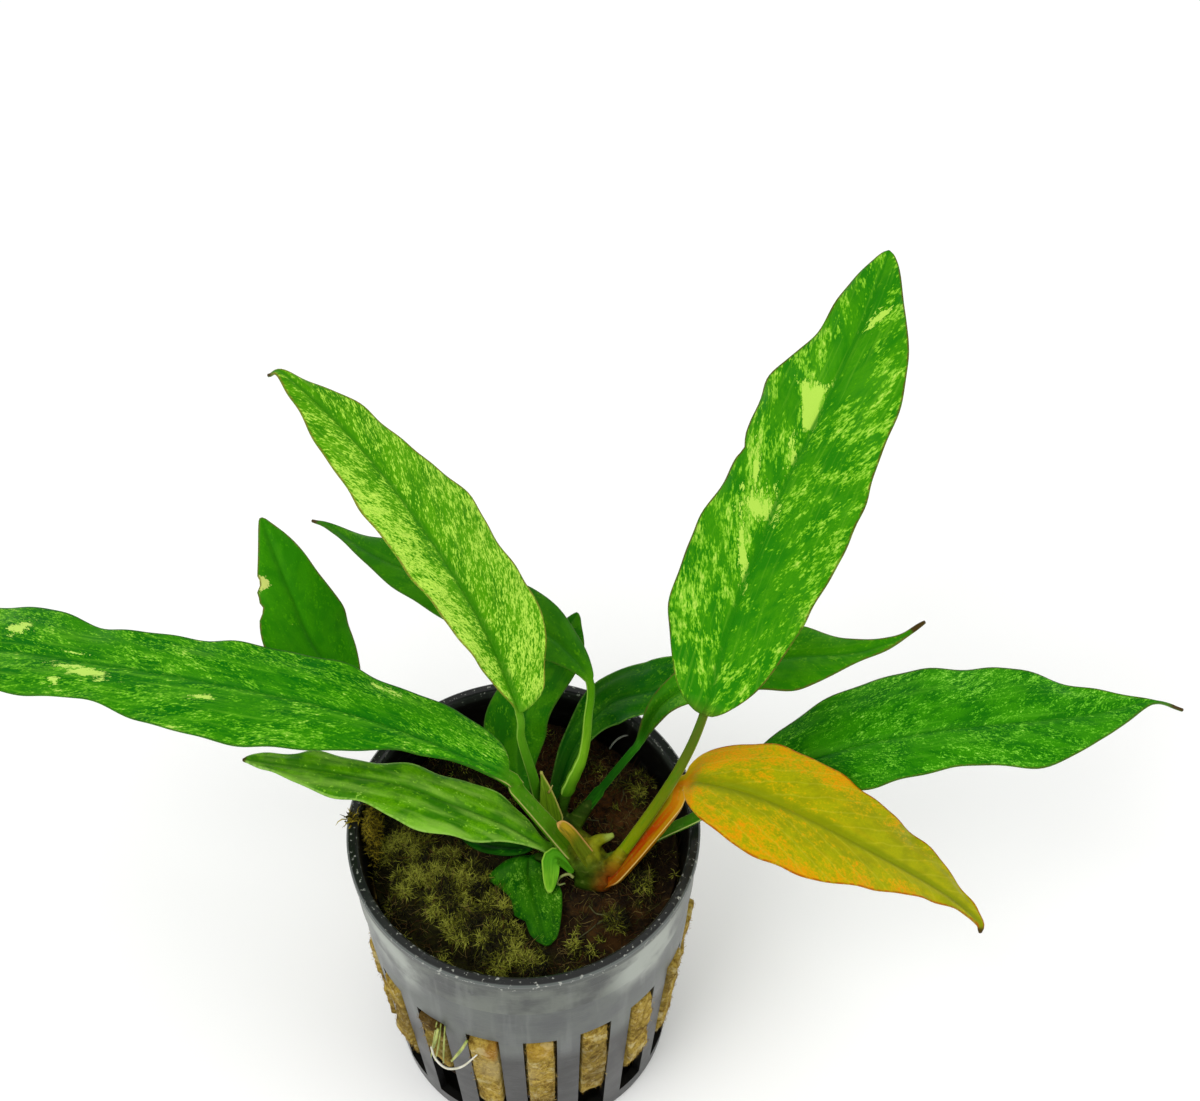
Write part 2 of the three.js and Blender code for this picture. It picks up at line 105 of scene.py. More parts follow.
# Moss grows in mounds on the wool (place and radius of each) and climbs to the rim at one place
MOSS_MOUNDS = [(-21, 3, 3.4), (-17, 0.5, 4.4), (-13, -3, 4.2), (-16, -5.5, 3), (-11, -8.3, 4),
               (-7, -5.5, 3), (-7.5, -12.5, 4), (-2.8, -15, 3.8), (-2.5, -9.5, 3), (1.3, -18, 2.8),
               (3, -13.5, 2), (-4, -19.5, 2), (13, -12, 1.8), (17, -6, 1.6)]
MOSS_HEIGHT = 1.7
# The small front leaf lies in a dip of the moss: its middle and its half-sizes
LOW_SPOT = (2, -10, 3.6, 7)
# How far out moss and loose fibres grow, and the circle round the crown that stays free of moss
MOSS_REACH = 21.9
FIBRE_REACH = 21.4
NO_MOSS = (8.5, -3, 5.5)
MOSS_STRANDS = 13500
TUFT_STRANDS = 2600
# Strands of the tuft that hang over the rim, and the place they hang from
HANGING = 45
HANGING_FROM = (-24, 0.9, 56.1)
TOP_FIBRES = 5500
SLOT_FIBRES = 7000
# Fine roots: how many, the area that they start in, the length of a step, the most that they reach
# out, and the circle round the crown that stays free of them
FINE_ROOTS = 4
FINE_START = (6, 16, -15, 8)
FINE_STEP = 1.8
FINE_REACH = 21
NO_FINE_ROOTS = (8, -2, 6)

# Leaves: each blade rises from the midrib by CUP and bends down again by DROOP, as shares of its
# half-width
CUP = 0.22
DROOP = 0.2
CURVE_PARTS = 400
STATION_STEP = 0.6
FEWEST_STATIONS = 24
COLUMNS = (0, 0.03, 0.06, 0.1, 0.16, 0.24, 0.34, 0.45, 0.56, 0.67, 0.77, 0.86, 0.93, 0.97, 1)
# Half of the thickness at the midrib, at the blade's edge and at the petiole's edge
MIDDLE_HALF = 0.2
EDGE_HALF = 0.06
STEM_EDGE_HALF = 0.02
TIP_HALF_WIDTH = 0.2
THINNEST = 0.12
GROOVE_DEPTH = 0.22
GROOVE_WIDTH = 0.45
# The rib under the midrib, as shares of the petiole's radius, and how much it thins towards the tip
RIB_DEPTH, RIB_WIDTH, RIB_THINNING = 0.8, 0.9, 0.8
CHANNEL_DEPTH = 0.5
TIP_FROM = 0.9
# The margins' waves: where the left and the right one start, and the second wave's share of the
# first one's length and height and its start on the left
WAVE_STARTS = (0.4, 2.3)
SECOND_WAVE = (0.57, 0.5, 1.1)
VEIN_SLANT = 23
VEIN_PITCH = 1.9
VEIN_RELIEF = 0.045
JOIN_LENGTH = 2.5

# Petiole and midrib are points and radius is the petiole's, at its base and its top. Left and right
# are half-widths from base to tip; those with a distance before each are joined by straight lines.
# Ruffle is the height and length of the margin's waves, pleats the height and number of lengthwise
# waves, channel how deep the petiole's upper side is grooved and cup how far the blade is folded at
# its base. A level petiole has its channel turned up, slant is the side veins' angle, and fold is
# how far round each half is bent, in radians. Cuff is an outer layer of the petiole (where it ends
# and its thickness), bulges are swellings of it (at, extra, spread), and nicks are bites out of the
# left margin (at, depth, half-length).
BLADE = dict(petiole=[], ruffle=(0, 10), pleats=(0, 1), channel=0.2, cup=CUP, level=False,
             slant=VEIN_SLANT, fold=0, cuff=None, bulges=[], nicks=[])
LEAVES = {
    "leaf_tall": dict(
        petiole=[(12, -4.9, 51.5), (18.1, -1.3, 62), (21.8, 0.3, 71)],
        midrib=[(24.6, 2.6, 80), (28.4, 10.8, 92), (34.2, 19.5, 106), (40, 26.6, 117), (44.6, 34.8, 123),
                (47.6, 42.4, 126)],
        left=[3.8, 6.3, 8.8, 9, 7.6, 8.5, 5, 3.7, 1.5], right=[3, 6.4, 8.7, 10.2, 11, 9.7, 7.6, 3.9, 1.7],
        radius=(0.9, 0.62), ruffle=(0.45, 11), pleats=(0.12, 2.5), nicks=[(34.8, 0.5, 0.9)]),
    "leaf_upper_left": dict(
        petiole=[(2.6, 4.2, 52), (1.3, 4.5, 62), (0, 4.6, 71)],
        midrib=[(-0.2, 5.6, 76), (-3.8, 10.4, 86), (-9.4, 15.2, 97), (-15.9, 20.3, 106),
                (-22.3, 25.2, 112), (-29.3, 30.2, 116), (-31.7, 31.1, 115)],
        left=[0.6, 2.2, 3.9, 5.1, 5.7, 5.6, 4.3, 2.2, 0.5],
        right=[3.6, 5.4, 7.9, 7.8, 8.1, 5.5, 4.1, 1.6, 0.3],
        radius=(0.85, 0.55), ruffle=(0.3, 10), channel=0.3, cup=0.5),
    "leaf_long_left": dict(
        petiole=[(9.1, -4.4, 51.5), (4.6, -1.9, 57), (-0.3, 0.1, 64.5)],
        midrib=[(-2, 1.1, 67), (-12.3, 2.9, 73), (-22.7, 4.1, 78), (-34.7, 6.1, 80), (-47.1, 8.9, 80),
                (-60, 11.9, 79), (-71.9, 15.2, 77), (-86.9, 19, 73)],
        left=[1.2, 1.6, 4.3, 8.2, 8.7, 6.2, 7, 5, 1.8], right=[4.4, 6, 6.4, 7.3, 6.6, 5.9, 7.7, 6.4, 2],
        radius=(1.5, 1.1), ruffle=(0.4, 14), channel=0.6, pleats=(0.12, 2), slant=12, level=True),
    "leaf_lower_left": dict(
        petiole=[(6.8, -2.2, 51.2), (4.6, -2, 52.6)],
        midrib=[(3, -2.3, 53.9), (-3.2, -0.8, 58), (-10.1, 0.5, 61), (-17.1, 2.2, 63), (-28.3, 4, 64),
                (-39.6, 7, 62)],
        left=[1, 2.2, 4.6, 5.6, 4.2, 3.2, 1.5, 0.5], right=[1.3, 3.2, 4.2, 3.8, 2.9, 2.8, 2.2, 1.2],
        radius=(1.1, 0.9), ruffle=(0.5, 12), channel=0.3, pleats=(0.15, 2.5)),
    "leaf_yellow": dict(
        petiole=[(10.8, -6.3, 50.6), (16.1, -3.6, 56.8), (20.7, -1.4, 63.4)],
        midrib=[(22.4, 0.2, 67), (29.7, -2.7, 69.5), (37.7, -6.1, 69), (47.1, -9.6, 65.5),
                (57.2, -12.1, 59), (62.6, -13.8, 54), (63.3, -15.1, 52.5)],
        left=[4.7, 7.2, 8.7, 8.3, 6.9, 4.9, 2.2, 0.8], right=[3.5, 6.4, 8.8, 8.6, 5.5, 2.8, 1.2, 0.5],
        radius=(2.15, 1.2), ruffle=(0.25, 9), channel=0.8, pleats=(0.1, 2), level=True,
        bulges=[(0, -1, 1.6)]),
    "leaf_long_right": dict(
        petiole=[(10.5, -4.1, 51), (14.5, -2.5, 52.7), (18.6, -1.2, 55), (24.4, 0, 58.3)],
        midrib=[(29.8, 2.9, 60), (38.9, 6, 62.5), (47.1, 6.9, 66), (57.7, 6.7, 70), (68.3, 6.4, 72.5),
                (77.9, 7.3, 73), (86.6, 9.4, 73), (91.5, 9.5, 70.8)],
        left=[2.3, 5, 7.8, 10.2, 9.8, 8.2, 4, 0.7, 0.3],
        right=[2.4, 4.9, 6.5, 7.5, 6.3, 7.6, 4.1, 0.8, 0.25],
        radius=(1, 0.8), ruffle=(0.35, 13), channel=0.5, pleats=(0.1, 2), level=True),
    "leaf_twisted": dict(
        petiole=[(6.8, 2.4, 52), (10.8, 5.1, 57), (15.3, 7.7, 63)],
        midrib=[(16.2, 8.4, 64), (19.5, 12.6, 68), (27.6, 15.4, 72), (37.3, 16.2, 74), (45.5, 16.2, 75),
                (51.5, 17.5, 76), (56.1, 20.1, 77)],
        left=[0.65, 1.2, 2.7, 4.9, 5.2, 2.4, 0.7, 0.4], right=[0.9, 2.2, 3.9, 4.6, 5.6, 2.2, 0.7, 0.4],
        radius=(0.6, 0.55), ruffle=(0.2, 12), channel=0.5, cup=0.75, cuff=(7, 0.25)),
    "leaf_back_right": dict(
        petiole=[(4.4, 4.8, 51.5)],
        midrib=[(4.4, 6.4, 53), (7, 13.1, 56.5), (12, 17.4, 60.5), (18.7, 17.6, 64), (25.1, 18.8, 66),
                (31.6, 21.6, 67)],
        left=[1.2, 1.6, 2.7, 5.2, 4.7, 3.9, 1.8], right=[1.2, 1.6, 2.4, 4.3, 3.2, 2, 0.9],
        radius=(1, 0.9), ruffle=(0.2, 11), cup=0.4, pleats=(0.12, 2)),
    "leaf_arched": dict(
        petiole=[(4.5, 3.5, 52), (6.5, 5.6, 57.5), (8.4, 8.1, 61.5), (9.1, 10.7, 67)],
        midrib=[(9.3, 13.7, 72), (5.5, 16.8, 76), (-0.3, 19.3, 79), (-10, 23, 81), (-20.3, 27.8, 82),
                (-27.2, 33.7, 81), (-30.4, 35.9, 80)],
        left=[1.2, 3, 5.6, 5.5, 4.2, 1.9, 0.7, 0.3], right=[1.3, 3, 5.1, 5.2, 4.1, 3, 1, 0.4],
        radius=(0.8, 0.6), ruffle=(0.2, 12), bulges=[(5.5, 0.3, 0.8), (7.6, 0.22, 1), (9.6, 0.15, 0.8)]),
    "leaf_back_centre": dict(
        petiole=[(2.4, 5.4, 51)],
        midrib=[(-0.1, 6.1, 54.3), (-0.7, 12.3, 59), (0.5, 15.8, 64), (3.9, 21, 69), (7.6, 25.8, 71.5)],
        left=[1.2, 3, 5.4, 4.8, 3.8, 2.1, 0.8], right=[1.2, 2.2, 3.7, 3.9, 4.9, 4.2, 1.5],
        radius=(1, 0.9), ruffle=(0.2, 10)),
    "leaf_back_left": dict(
        petiole=[(1.6, 7, 50.4), (-5, 11.4, 52.6), (-15.3, 14.7, 58.5)],
        midrib=[(-21.6, 14.8, 60.5), (-29.7, 21.8, 68), (-33.4, 27.2, 75), (-37.4, 34.8, 82)],
        left=[1.4, 3.8, 6.4, 6.6, 4.7, 2.4, 0.9], right=[1.2, 2.3, 5.1, 6.3, 4.8, 3.3, 1.2],
        radius=(1, 0.8), ruffle=(0.2, 9), nicks=[(25.2, 0.6, 0.6), (21.7, 0.8, 0.8), (23.2, 0.3, 0.5)]),
    "leaf_small_front": dict(
        petiole=[(5.6, -2.4, 50.6)], midrib=[(0.8, -2.9, 50.8), (1.7, -9.3, 50.6), (3.6, -15.9, 50.3)],
        left=[(0, 2), (2, 3.2), (3.9, 3.8), (6.3, 3.9), (8, 3.6), (9.5, 3.1), (11.5, 2.3), (12.6, 1.6),
              (13.4, 0.4)],
        right=[(0, 1.6), (0.8, 3.9), (1.8, 6), (3.3, 4.6), (5, 3.4), (6, 3.2), (7.4, 3.4), (8.2, 3.2),
               (9.2, 2.1), (11, 2), (12.4, 1.4), (13.4, 0.4)],
        radius=(0.8, 0.6), ruffle=(0.3, 5), pleats=(0.15, 2)),
    "leaf_small_left": dict(
        petiole=[(3.9, 0.7, 51.7)],
        midrib=[(1.4, -0.8, 52.3), (-0.6, -1.8, 52.9), (-4.8, -1.5, 53), (-8.9, 0, 52.8)],
        left=[0.8, 1.3, 1.5, 1.3, 0.7], right=[0.8, 1.2, 1.3, 1.2, 0.6],
        radius=(0.7, 0.5), ruffle=(0.05, 5)),
}

# Sheaths are blades with no petiole; tones are the body's, the tip's, the dark lines' and the rim's
SHEATHS = {
    "bract_curled": dict(
        midrib=[(7.2, -5.4, 52.4), (5.8, -4.6, 53.9), (4.6, -4.3, 54.7), (3.9, -4.9, 54.6),
                (3.9, -6.2, 53.7), (3.8, -7.4, 52.8), (3.7, -8.5, 51.8)],
        left=[0.8, 1.1, 1.3, 1.3, 1.2, 0.9, 0.5], right=[0.8, 1.1, 1.3, 1.3, 1.2, 0.9, 0.5],
        radius=(0.3, 0.3), fold=0.4, tones=(0x4b9614, 0x74b424, 0x3c8210, 0x8cbc3c)),
    "sheath_pale": dict(
        midrib=[(4.2, 1.8, 52.5), (3.6, 3.2, 56), (3.1, 4.2, 59), (2.5, 5.2, 61.7)],
        left=[1.9, 1.7, 1.1, 0.35], right=[1.5, 1.3, 0.8, 0.3],
        radius=(0.3, 0.2), fold=0.4, tones=(0x6c9418, 0x7ca424, 0x466c0c, 0xb8b458)),
    "sheath_orange": dict(
        midrib=[(9.9, -4.6, 51.8), (8, -3.6, 55), (6.5, -2.9, 58.2), (4.9, -2.2, 60.2)],
        left=[1, 1, 0.9, 0.9], right=[1.4, 1.5, 1.3, 1],
        radius=(0.3, 0.2), fold=0.4, tones=(0x6c7e16, 0xb4941e, 0x5a680e, 0xcc9c54)),
}

# The rhizome, its bud, and the swollen front from the curled bract to the base of the yellow petiole
RHIZOME = dict(
    points=[(11, -6.6, 50), (10.3, -5, 50.3), (8.6, -2.6, 50.8), (6.2, 0, 51), (3.9, 3.3, 50.8),
            (1.8, 6.8, 50.2)],
    radii=[1.6, 3, 3.1, 2.6, 2.6, 1.8])
BUD = dict(points=[(9, -2.2, 52.6), (10.5, -1.2, 53.7), (11.7, -1, 54.1), (12.8, -0.8, 54.6)],
           radii=[1.5, 1.1, 0.72, 0.42])
SWELLING = dict(points=[(7.4, -4.9, 50.1), (8.6, -5.2, 50), (10, -5.5, 50), (11.3, -6.2, 50.4),
                        (12, -6.1, 51.1)], radii=[1.4, 1.7, 1.6, 1.35, 0.95])
COLLAR_LENGTH = 6
COLLAR_SWELL = 0.55
COLLAR_NARROW = 0.14
RHIZOME_VOXEL = 0.24
# The crown is dark olive, with other tones round some places: place, reach, weight and tone
CROWN_TONE = 0x2a4406
CROWN_PLACES = [((10.4, -1.6, 54), 2.2, 1, 0x949616), ((12.4, -6.5, 50.9), 1.5, 3, 0x7c300a),
                ((13.9, -5.2, 53.6), 1.7, 1.4, 0xa05c10), ((8.2, -2.4, 54), 1.2, 1, 0xb08a18)]

# Roots that stand for a node of the part; the tones are of their dark and light grain
GREEN_ROOT = (0x8a9a30, 0xc4cc68)
ROOTS = {
    "root_left": dict(points=[(-12.3, -21.4, 35.6), (-12.8, -21.6, 32.6), (-13.8, -20.6, 26.7)],
                      radii=[0.2, 0.26, 0.16], tones=GREEN_ROOT),
    "root_middle": dict(points=[(-8.1, -23.3, 35.8), (-9, -23.3, 33), (-10.8, -22.4, 27.1)],
                        radii=[0.2, 0.26, 0.16], tones=GREEN_ROOT),
    "root_white": dict(points=[(-13.5, -22.3, 31.5), (-13.1, -22.2, 27.3), (-11.5, -23.1, 26.2),
                               (-9.1, -24.3, 29.4), (-6.7, -24.6, 34)],
                       radii=[0.16, 0.17, 0.18, 0.16, 0.1], tones=(0xd8d4b8, 0xf2efe0)),
}
# Small pale growths beside the rhizome: a curled root, a root stub at the back and a thorn
GROWTHS = {
    "curled_root": dict(points=[(7, -6.3, 52.2), (6.4, -6.1, 52.8), (5.4, -6.5, 52.9), (4.8, -7, 52.4),
                                (5, -7.3, 51.9), (5.9, -7.1, 52)],
                        radii=[0.24, 0.22, 0.2, 0.18, 0.16, 0.12], tones=(0x6c7c34, 0x98a054)),
    "root_stub": dict(points=[(12.2, 16.4, 50.4), (13, 16.9, 51.6), (14.2, 17.5, 52.1), (15.5, 17.9, 51.8)],
                      radii=[0.12, 0.16, 0.16, 0.08], tones=(0x76786a, 0xa0a294)),
    "thorn": dict(points=[(3.5, 3.9, 58.2), (3.8, 4.2, 58.7), (4.1, 4.6, 59.2)],
                  radii=[0.2, 0.14, 0.04], tones=(0xa08c3c, 0xc8b464)),
}
# Hair roots beside the left root: each one's points, bent down through the slot
HAIR_ROOTS = [[(-11.9, -20.8, 36), (-12.4, -21.9, 31.8), (-13.3, -21.8, 26)],
              [(-12.5, -20.4, 35.8), (-13.2, -21.5, 31.4), (-13.9, -21.4, 26.4)],
              [(-11.3, -21.2, 36), (-11.7, -22.3, 31.2), (-12.1, -22, 25.6)]]
HAIR_RADII = [0.12, 0.16, 0.09]
FINE_RADII = [0.09, 0.1, 0.09, 0.07, 0.04]


# Curves and cross-sections

def spline(a, b, c, d, f):
    """From b to c as f goes from 0 to 1, with slopes that follow a and d."""
    slope0, slope1, rise = (c - a) / 2, (d - b) / 2, c - b
    return b + f * (slope0 + f * (3 * rise - 2 * slope0 - slope1 + f * (slope0 + slope1 - 2 * rise)))


def smooth(values, t):
    """A smooth curve through evenly spaced values, read at t from 0 to 1."""
    values = np.asarray(values, float)
    at = np.clip(t, 0, 1) * (len(values) - 1)
    i = np.minimum(np.floor(at).astype(int), len(values) - 2)
    return spline(*(values[np.clip(i + k, 0, len(values) - 1)] for k in (-1, 0, 1, 2)), at - i)


def ease(low, high, value):
    """0 below low, 1 above high and smooth between them."""
    share = np.clip((value - low) / (high - low), 0, 1)
    return share * share * (3 - 2 * share)


def unit(vectors):
    return vectors / np.linalg.norm(vectors, axis=-1, keepdims=True)


def stacked(x, y, z):
    """Vectors from numbers or lists of their three parts."""
    return np.stack(np.broadcast_arrays(x, y, z), -1)


class Curve:
    """The smooth curve through points, read by the distance along it."""

    def __init__(self, points):
        points = np.array(points, float)
        padded = np.concatenate([[2 * points[0] - points[1]], points, [2 * points[-1] - points[-2]]])
        at = np.linspace(0, len(points) - 1, CURVE_PARTS + 1)
        i = np.minimum(at.astype(int), len(points) - 2)
        self.places = spline(*(padded[i + k] for k in range(4)), (at - i)[:, None])
        steps = np.linalg.norm(np.diff(self.places, axis=0), axis=1)
        self.lengths = np.concatenate([[0], np.cumsum(steps)])
        self.total = self.lengths[-1]
        self.tangents = unit(np.gradient(self.places, self.lengths, axis=0))

    def read(self, table, distance):
        return stacked(*(np.interp(distance, self.lengths, table[:, k]) for k in range(3)))

    def place(self, distance):
        return self.read(self.places, distance)

    def tangent(self, distance):
        return unit(self.read(self.tangents, distance))


def sides_of(tangents, level_from=0):
    """Side vectors that lie level from one station on and aren't twisted before it."""
    sides = np.cross((0, 0, 1), tangents)
    for i in range(level_from - 1, -1, -1):
        sides[i] = sides[i + 1] - tangents[i] * np.dot(sides[i + 1], tangents[i])
    return unit(sides)


class Cloud:
    """Smooth seeded noise in space, about -1 to 1, with finer and finer layers."""

    SIZE = 24

    def __init__(self, rng):
        self.values = rng.uniform(-1, 1, (self.SIZE, self.SIZE, self.SIZE))

    def layer(self, place):
        low = np.floor(place).astype(int)
        f = place - low
        f = f * f * (3 - 2 * f)
        total = 0
        for corner in np.ndindex(2, 2, 2):
            weight = np.prod([f[k] if corner[k] else 1 - f[k] for k in range(3)], axis=0)
            i, j, k = ((low[n] + corner[n]) % self.SIZE for n in range(3))
            total = total + weight * self.values[i, j, k]
        return total

    def read(self, x, y, z, size, layers=3):
        place = np.stack(np.broadcast_arrays(x, y, z)).astype(float) / size
        return 1.3 * sum(self.layer(place * 2 ** k + 5.3 * k) / 2 ** k for k in range(layers))


GROUND = Cloud(np.random.default_rng(SEED + 1))


# Meshes

def put_attribute(mesh, name, values):
    layer = mesh.attributes.new(name, "FLOAT_VECTOR", "POINT")
    layer.data.foreach_set("vector", np.asarray(values, np.float32).ravel())


def link(name, data):
    """A new object in the scene."""
    thing = bpy.data.objects.new(name, data)
    bpy.context.scene.collection.objects.link(thing)
    return thing


def make_piece(name, points, faces, attributes=None):
    """A smooth-shaded mesh object from points in millimetres."""
    mesh = bpy.data.meshes.new(name)
    mesh.from_pydata((np.asarray(points) * MM).tolist(), [], [tuple(map(int, face)) for face in faces])
    mesh.polygons.foreach_set("use_smooth", [True] * len(mesh.polygons))
    for key, values in (attributes or {}).items():
        put_attribute(mesh, key, values)
    mesh.update()
    return link(name, mesh)


def dress(piece, material, slot, *nodes):
    """Gives a piece its material, and lets it ride and stand for its nodes; slot is not used."""
    piece.data.materials.append(material)
    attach(piece, "root")
    if nodes:
        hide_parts(*nodes)


def alter(piece, name, kind, **settings):
    """Gives a piece a modifier."""
    modifier = piece.modifiers.new(name, kind)
    for key, value in settings.items():
        setattr(modifier, key, value)


def settle(piece):
    """Applies a piece's modifiers to its mesh."""
    graph = bpy.context.evaluated_depsgraph_get()
    mesh = bpy.data.meshes.new_from_object(piece.evaluated_get(graph))
    piece.modifiers.clear()
    piece.data = mesh


def ring_faces(rows, size, caps=True):
    """Quads between rows of closed rings, with a face over each end."""
    i, j = np.meshgrid(np.arange(rows - 1) * size, np.arange(size), indexing="ij")
    k = (j + 1) % size
    faces = np.stack([i + j, i + k, i + size + k, i + size + j], -1).reshape(-1, 4).tolist()
    if caps:
        last = (rows - 1) * size
        faces.append(list(range(size))[::-1])
        faces.append([last + n for n in range(size)])
    return faces


def tube(points, radii, sides=12, step=0.4):
    """Points and faces of a round stem through points."""
    curve = Curve(points)
    count = max(4, int(curve.total / step))
    distance = np.linspace(0, curve.total, count)
    centres, tangents = curve.place(distance), curve.tangent(distance)
    side = sides_of(tangents, 1)
    for i in range(1, count):
        side[i] = side[i - 1] - tangents[i] * np.dot(side[i - 1], tangents[i])
    side = unit(side)
    normal = np.cross(tangents, side)
    radius = smooth(radii, distance / curve.total)[:, None, None]
    angle = (np.arange(sides) * 2 * math.pi / sides)[None, :, None]
    rings = centres[:, None] + radius * (side[:, None] * np.cos(angle) + normal[:, None] * np.sin(angle))
    return rings.reshape(-1, 3), ring_faces(count, sides)


def joined(parts):
    """One list of points and one of faces from several."""
    points, faces, start = [], [], 0
    for part_points, part_faces in parts:
        points.append(part_points)
        faces += [[start + n for n in face] for face in part_faces]
        start += len(part_points)
    return np.concatenate(points), faces


# Leaves

def half_widths(widths, thin, along, distance):
    """A blade half's width at each station."""
    if isinstance(widths[0], tuple):
        return np.interp(distance, *zip(*widths))
    station = np.arccos(1 - 2 * along) / math.pi
    return np.maximum(smooth([thin, *widths, TIP_HALF_WIDTH], station), THINNEST)


def petiole_radius(leaf, distance, start):
    thick, thin = leaf["radius"]
    radius = thick + (thin - thick) * np.clip(distance / max(start, 1), 0, 1)
    if leaf["cuff"]:
        end, extra = leaf["cuff"]
        radius = radius + extra * (1 - ease(end - 0.3, end + 0.3, distance))
    for at, extra, spread in leaf["bulges"]:
        radius = radius + extra * np.exp(-((distance - at) / spread) ** 2)
    return radius


def leaf_shape(leaf):
    """Cross-sections of a petiole and its blade from base to tip, with their places on the leaf."""
    leaf = {**BLADE, **leaf}
    points = leaf["petiole"] + leaf["midrib"]
    curve = Curve(points)
    start = curve.lengths[round(CURVE_PARTS * len(leaf["petiole"]) / (len(points) - 1))]
    blade = curve.total - start
    stem_rows = int(start / STATION_STEP)
    even = np.linspace(0, 1, max(FEWEST_STATIONS, int(blade / STATION_STEP)))
    share = 0.5 * (1 - np.cos(math.pi * even)) / 2 + 0.5 * even
    distance = np.concatenate([np.linspace(0, start, stem_rows, endpoint=False), start + blade * share])
    centres, tangents = curve.place(distance), curve.tangent(distance)
    side = sides_of(tangents, 0 if leaf["level"] else stem_rows)
    normal = np.cross(tangents, side)

    on_blade = distance - start
    along = np.clip(on_blade / blade, 0, 1)
    radius = petiole_radius(leaf, distance, start)
    half = {}
    for sign, widths in ((1, leaf["left"]), (-1, leaf["right"])):
        half[sign] = np.where(on_blade < 0, radius, half_widths(widths, leaf["radius"][1], along, on_blade))
    for at, depth, half_length in leaf["nicks"]:
        half[1] = half[1] - depth * np.exp(-((on_blade - at) / half_length) ** 2)
    open_share = ease(-0.5, JOIN_LENGTH, on_blade) if start else np.ones_like(distance)
    before_tip = 1 - ease(TIP_FROM, 1, along)
    run = np.where(on_blade < 0, on_blade / max(start, 1), along)
    cup = CUP + (leaf["cup"] - CUP) * (1 - ease(0.05, 0.5, along))
    height, length = leaf["ruffle"]
    pleat_height, pleat_count = leaf["pleats"]
    channel, fold, slant = leaf["channel"], leaf["fold"], math.radians(leaf["slant"])
    shorter, lower, later = SECOND_WAVE

    top = [*reversed(COLUMNS), *(-u for u in COLUMNS[1:])]
    rings, place, vein, facts = [], [], [], []
    for face, u in [(1, u) for u in top] + [(-1, u) for u in reversed(top)]:
        width, size = half[1 if u >= 0 else -1], abs(u)
        x = u * width
        off = np.abs(x)
        # The petiole is round, with a channel along its upper side
        stem_rise = face * width * math.sqrt(max(0, 1 - size * size))
        if face > 0:
            stem_rise = stem_rise * (1 - channel) - CHANNEL_DEPTH * channel * width * (1 - size * size)
        stem_rise = stem_rise + face * STEM_EDGE_HALF
        # The blade is thin, with a groove over its midrib and a rib under it
        rise = face * (MIDDLE_HALF + (EDGE_HALF - MIDDLE_HALF) * size ** 3)
        if face > 0:
            rise = rise - GROOVE_DEPTH * np.exp(-(x / GROOVE_WIDTH) ** 2) * before_tip
        else:
            rib = RIB_DEPTH * radius * (1 - RIB_THINNING * along)
            rise = rise - rib * np.exp(-(x / (RIB_WIDTH * radius)) ** 2)
        # Side veins run outward and forward from the midrib
        forward = on_blade * math.sin(slant) - off * math.cos(slant)
        outward = on_blade * math.cos(slant) + off * math.sin(slant)
        relief = VEIN_RELIEF * np.sin(2 * math.pi * forward / VEIN_PITCH) * ease(0.4, 2, off)
        relief = relief * ease(0, 1.5, width - off)
        pleat = pleat_height * np.cos(2 * math.pi * pleat_count * size) * ease(0.05, 0.3, along)
        wave = np.sin(2 * math.pi * on_blade / length + WAVE_STARTS[0 if u > 0 else 1])
        wave = wave + lower * np.sin(2 * math.pi * on_blade / (shorter * length) + later * (u > 0))
        ruffle = height * wave * size ** 2.5 * ease(0.02, 0.2, along)
        across = x
        lift = width * (cup * size - DROOP * size * size)
        if fold:
            across = width * math.sin(fold * u) / fold
            lift = width * (1 - math.cos(fold * u)) / fold
        rise = rise + lift + relief + (ruffle + pleat * size) * before_tip
        rise = open_share * rise + (1 - open_share) * stem_rise
        rings.append(centres + side * across[:, None] + normal * rise[:, None])
        place.append(stacked(on_blade, x, u))
        vein.append(stacked(outward, forward, width - off))
        facts.append(stacked(run, 1 - open_share, face))
    attributes = {key: np.stack(v, 1) for key, v in dict(place=place, vein=vein, facts=facts).items()}
    return dict(rings=np.stack(rings, 1), centres=centres, distance=distance, radius=radius,
                closed=open_share < 0.05, attributes=attributes)


def leaf_piece(name, shape):
    """A petiole and its blade as one closed mesh."""
    count, size, _ = shape["rings"].shape
    return make_piece(name, shape["rings"].reshape(-1, 3), ring_faces(count, size), shape["attributes"])


# Materials

# The studio light makes a surface look lighter than its own colour; each leaf has a share of its
# own, for the shade that it stands in
LIGHT_SHARE = 0.8
LEAF_SHEEN = (0.5, 1, 0.15, 1)
LEAF_GLINT = (0.01, 0, 0.005)
DRY_TIP = 0x4a3418


def tone(code, share=LIGHT_SHARE):
    """A colour as it is seen, written 0xRRGGBB in sRGB, turned into the surface's own colour."""
    channels = [(code >> shift & 255) / 255 for shift in (16, 8, 0)]
    seen = [c / 12.92 if c <= 0.04045 else ((c + 0.055) / 1.055) ** 2.4 for c in channels]
    return tuple(min(0.9, c * share) for c in seen) + (1,)


def leaf_tone(code, share):
    """A leaf's own colour, less the light that its sheen adds."""
    return tuple(max(0.001, c - glint) for c, glint in zip(tone(code, share), LEAF_GLINT)) + (1,)


